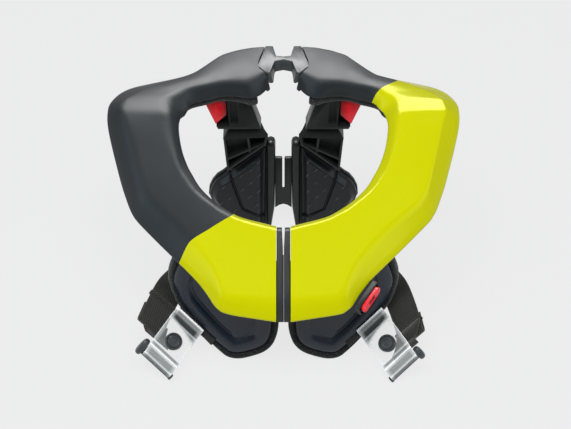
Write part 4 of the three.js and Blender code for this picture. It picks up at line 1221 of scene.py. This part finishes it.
# piece, edge radius, finish, half reach, height, reshape
bridges = {
    "rear_bridge": ("rearBridge", 1 * mm, "satin", 16 * mm, 160 * mm, None),
    "lower_bridge": ("lowerBridge", 0.35 * mm, "nylon", 6.2 * mm, 50 * mm, lapBridge),
}


def makeBridges():
    for node, (name, width, finish, reach, height, reshape) in bridges.items():
        piece = roundedNode(node, name, width, finish, reshape)
        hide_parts(node)
        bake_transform(piece)


makeChestPads()
print("chest pads made")
makeBladePads()
print("shoulder-blade pads made")
makeWebbing()
makeTails()
makeKeepers()
for bandSide in sides:
    makeBand(bandSide)
print("straps made")
makeSeams()
makeMouldings()
makeWell()
makeBridges()
print("mouldings made")


# studio

studio = {
    "floorSize": 30, "floorDrop": 0.5 * mm, "floorColour": (0.05, 0.05, 0.05), "floorGlow": 0.78,
    "world": (0.95, 0.97, 1.0), "worldStrength": 0.22, "aim": (0, 0, 0.08),
    "lights": [
        {"name": "rearTop", "place": (0.0, 0.86, 1.45), "size": (1.5, 0.85), "power": 52, "tint": (1, 1, 1),
         "hide": "visible_diffuse"},
        {"name": "front", "place": (-0.1, -0.75, 1.70), "size": (1.4, 1.0), "power": 40, "tint": (1, 1, 1),
         "hide": "visible_glossy"},
        {"name": "sideLeft", "place": (-1.5, -0.6, 0.95), "size": (1.1, 1.1), "power": 8,
         "tint": (0.72, 0.87, 1)},
        {"name": "sideRight", "place": (1.5, -0.6, 0.95), "size": (1.1, 1.1), "power": 8,
         "tint": (0.80, 0.90, 1)},
    ],
}


def makeStudio():
    mesh = bpy.data.meshes.new("floor")
    half = studio["floorSize"] / 2
    corners = [(-half, -half, 0), (half, -half, 0), (half, half, 0), (-half, half, 0)]
    mesh.from_pydata(corners, [], [(0, 1, 2, 3)])
    floor = addObject("floor", mesh)
    floor.location.z = -studio["floorDrop"]
    look = Finish("paleFloor", Base_Color=colour(*studio["floorColour"]), Roughness=1.0,
                  Specular_IOR_Level=0.0, Emission_Color=colour(1, 1, 1),
                  Emission_Strength=studio["floorGlow"])
    mesh.materials.append(look.material)
    world = bpy.data.worlds.new("studioWorld")
    world.use_nodes = True
    background = world.node_tree.nodes["Background"]
    background.inputs["Color"].default_value = colour(*studio["world"])
    background.inputs["Strength"].default_value = studio["worldStrength"]
    bpy.context.scene.world = world
    for spec in studio["lights"]:
        data = bpy.data.lights.new(spec["name"], "AREA")
        data.shape = "RECTANGLE"
        data.size, data.size_y = spec["size"]
        data.energy = spec["power"]
        data.color = spec["tint"]
        lamp = addObject(spec["name"], data)
        lamp.location = spec["place"]
        if "hide" in spec:
            setattr(lamp, spec["hide"], False)
        lamp.rotation_euler = (Vector(studio["aim"]) - lamp.location).to_track_quat("-Z", "Y").to_euler()
    bpy.context.scene.view_settings.view_transform = "Standard"


makeStudio()
print("studio made")
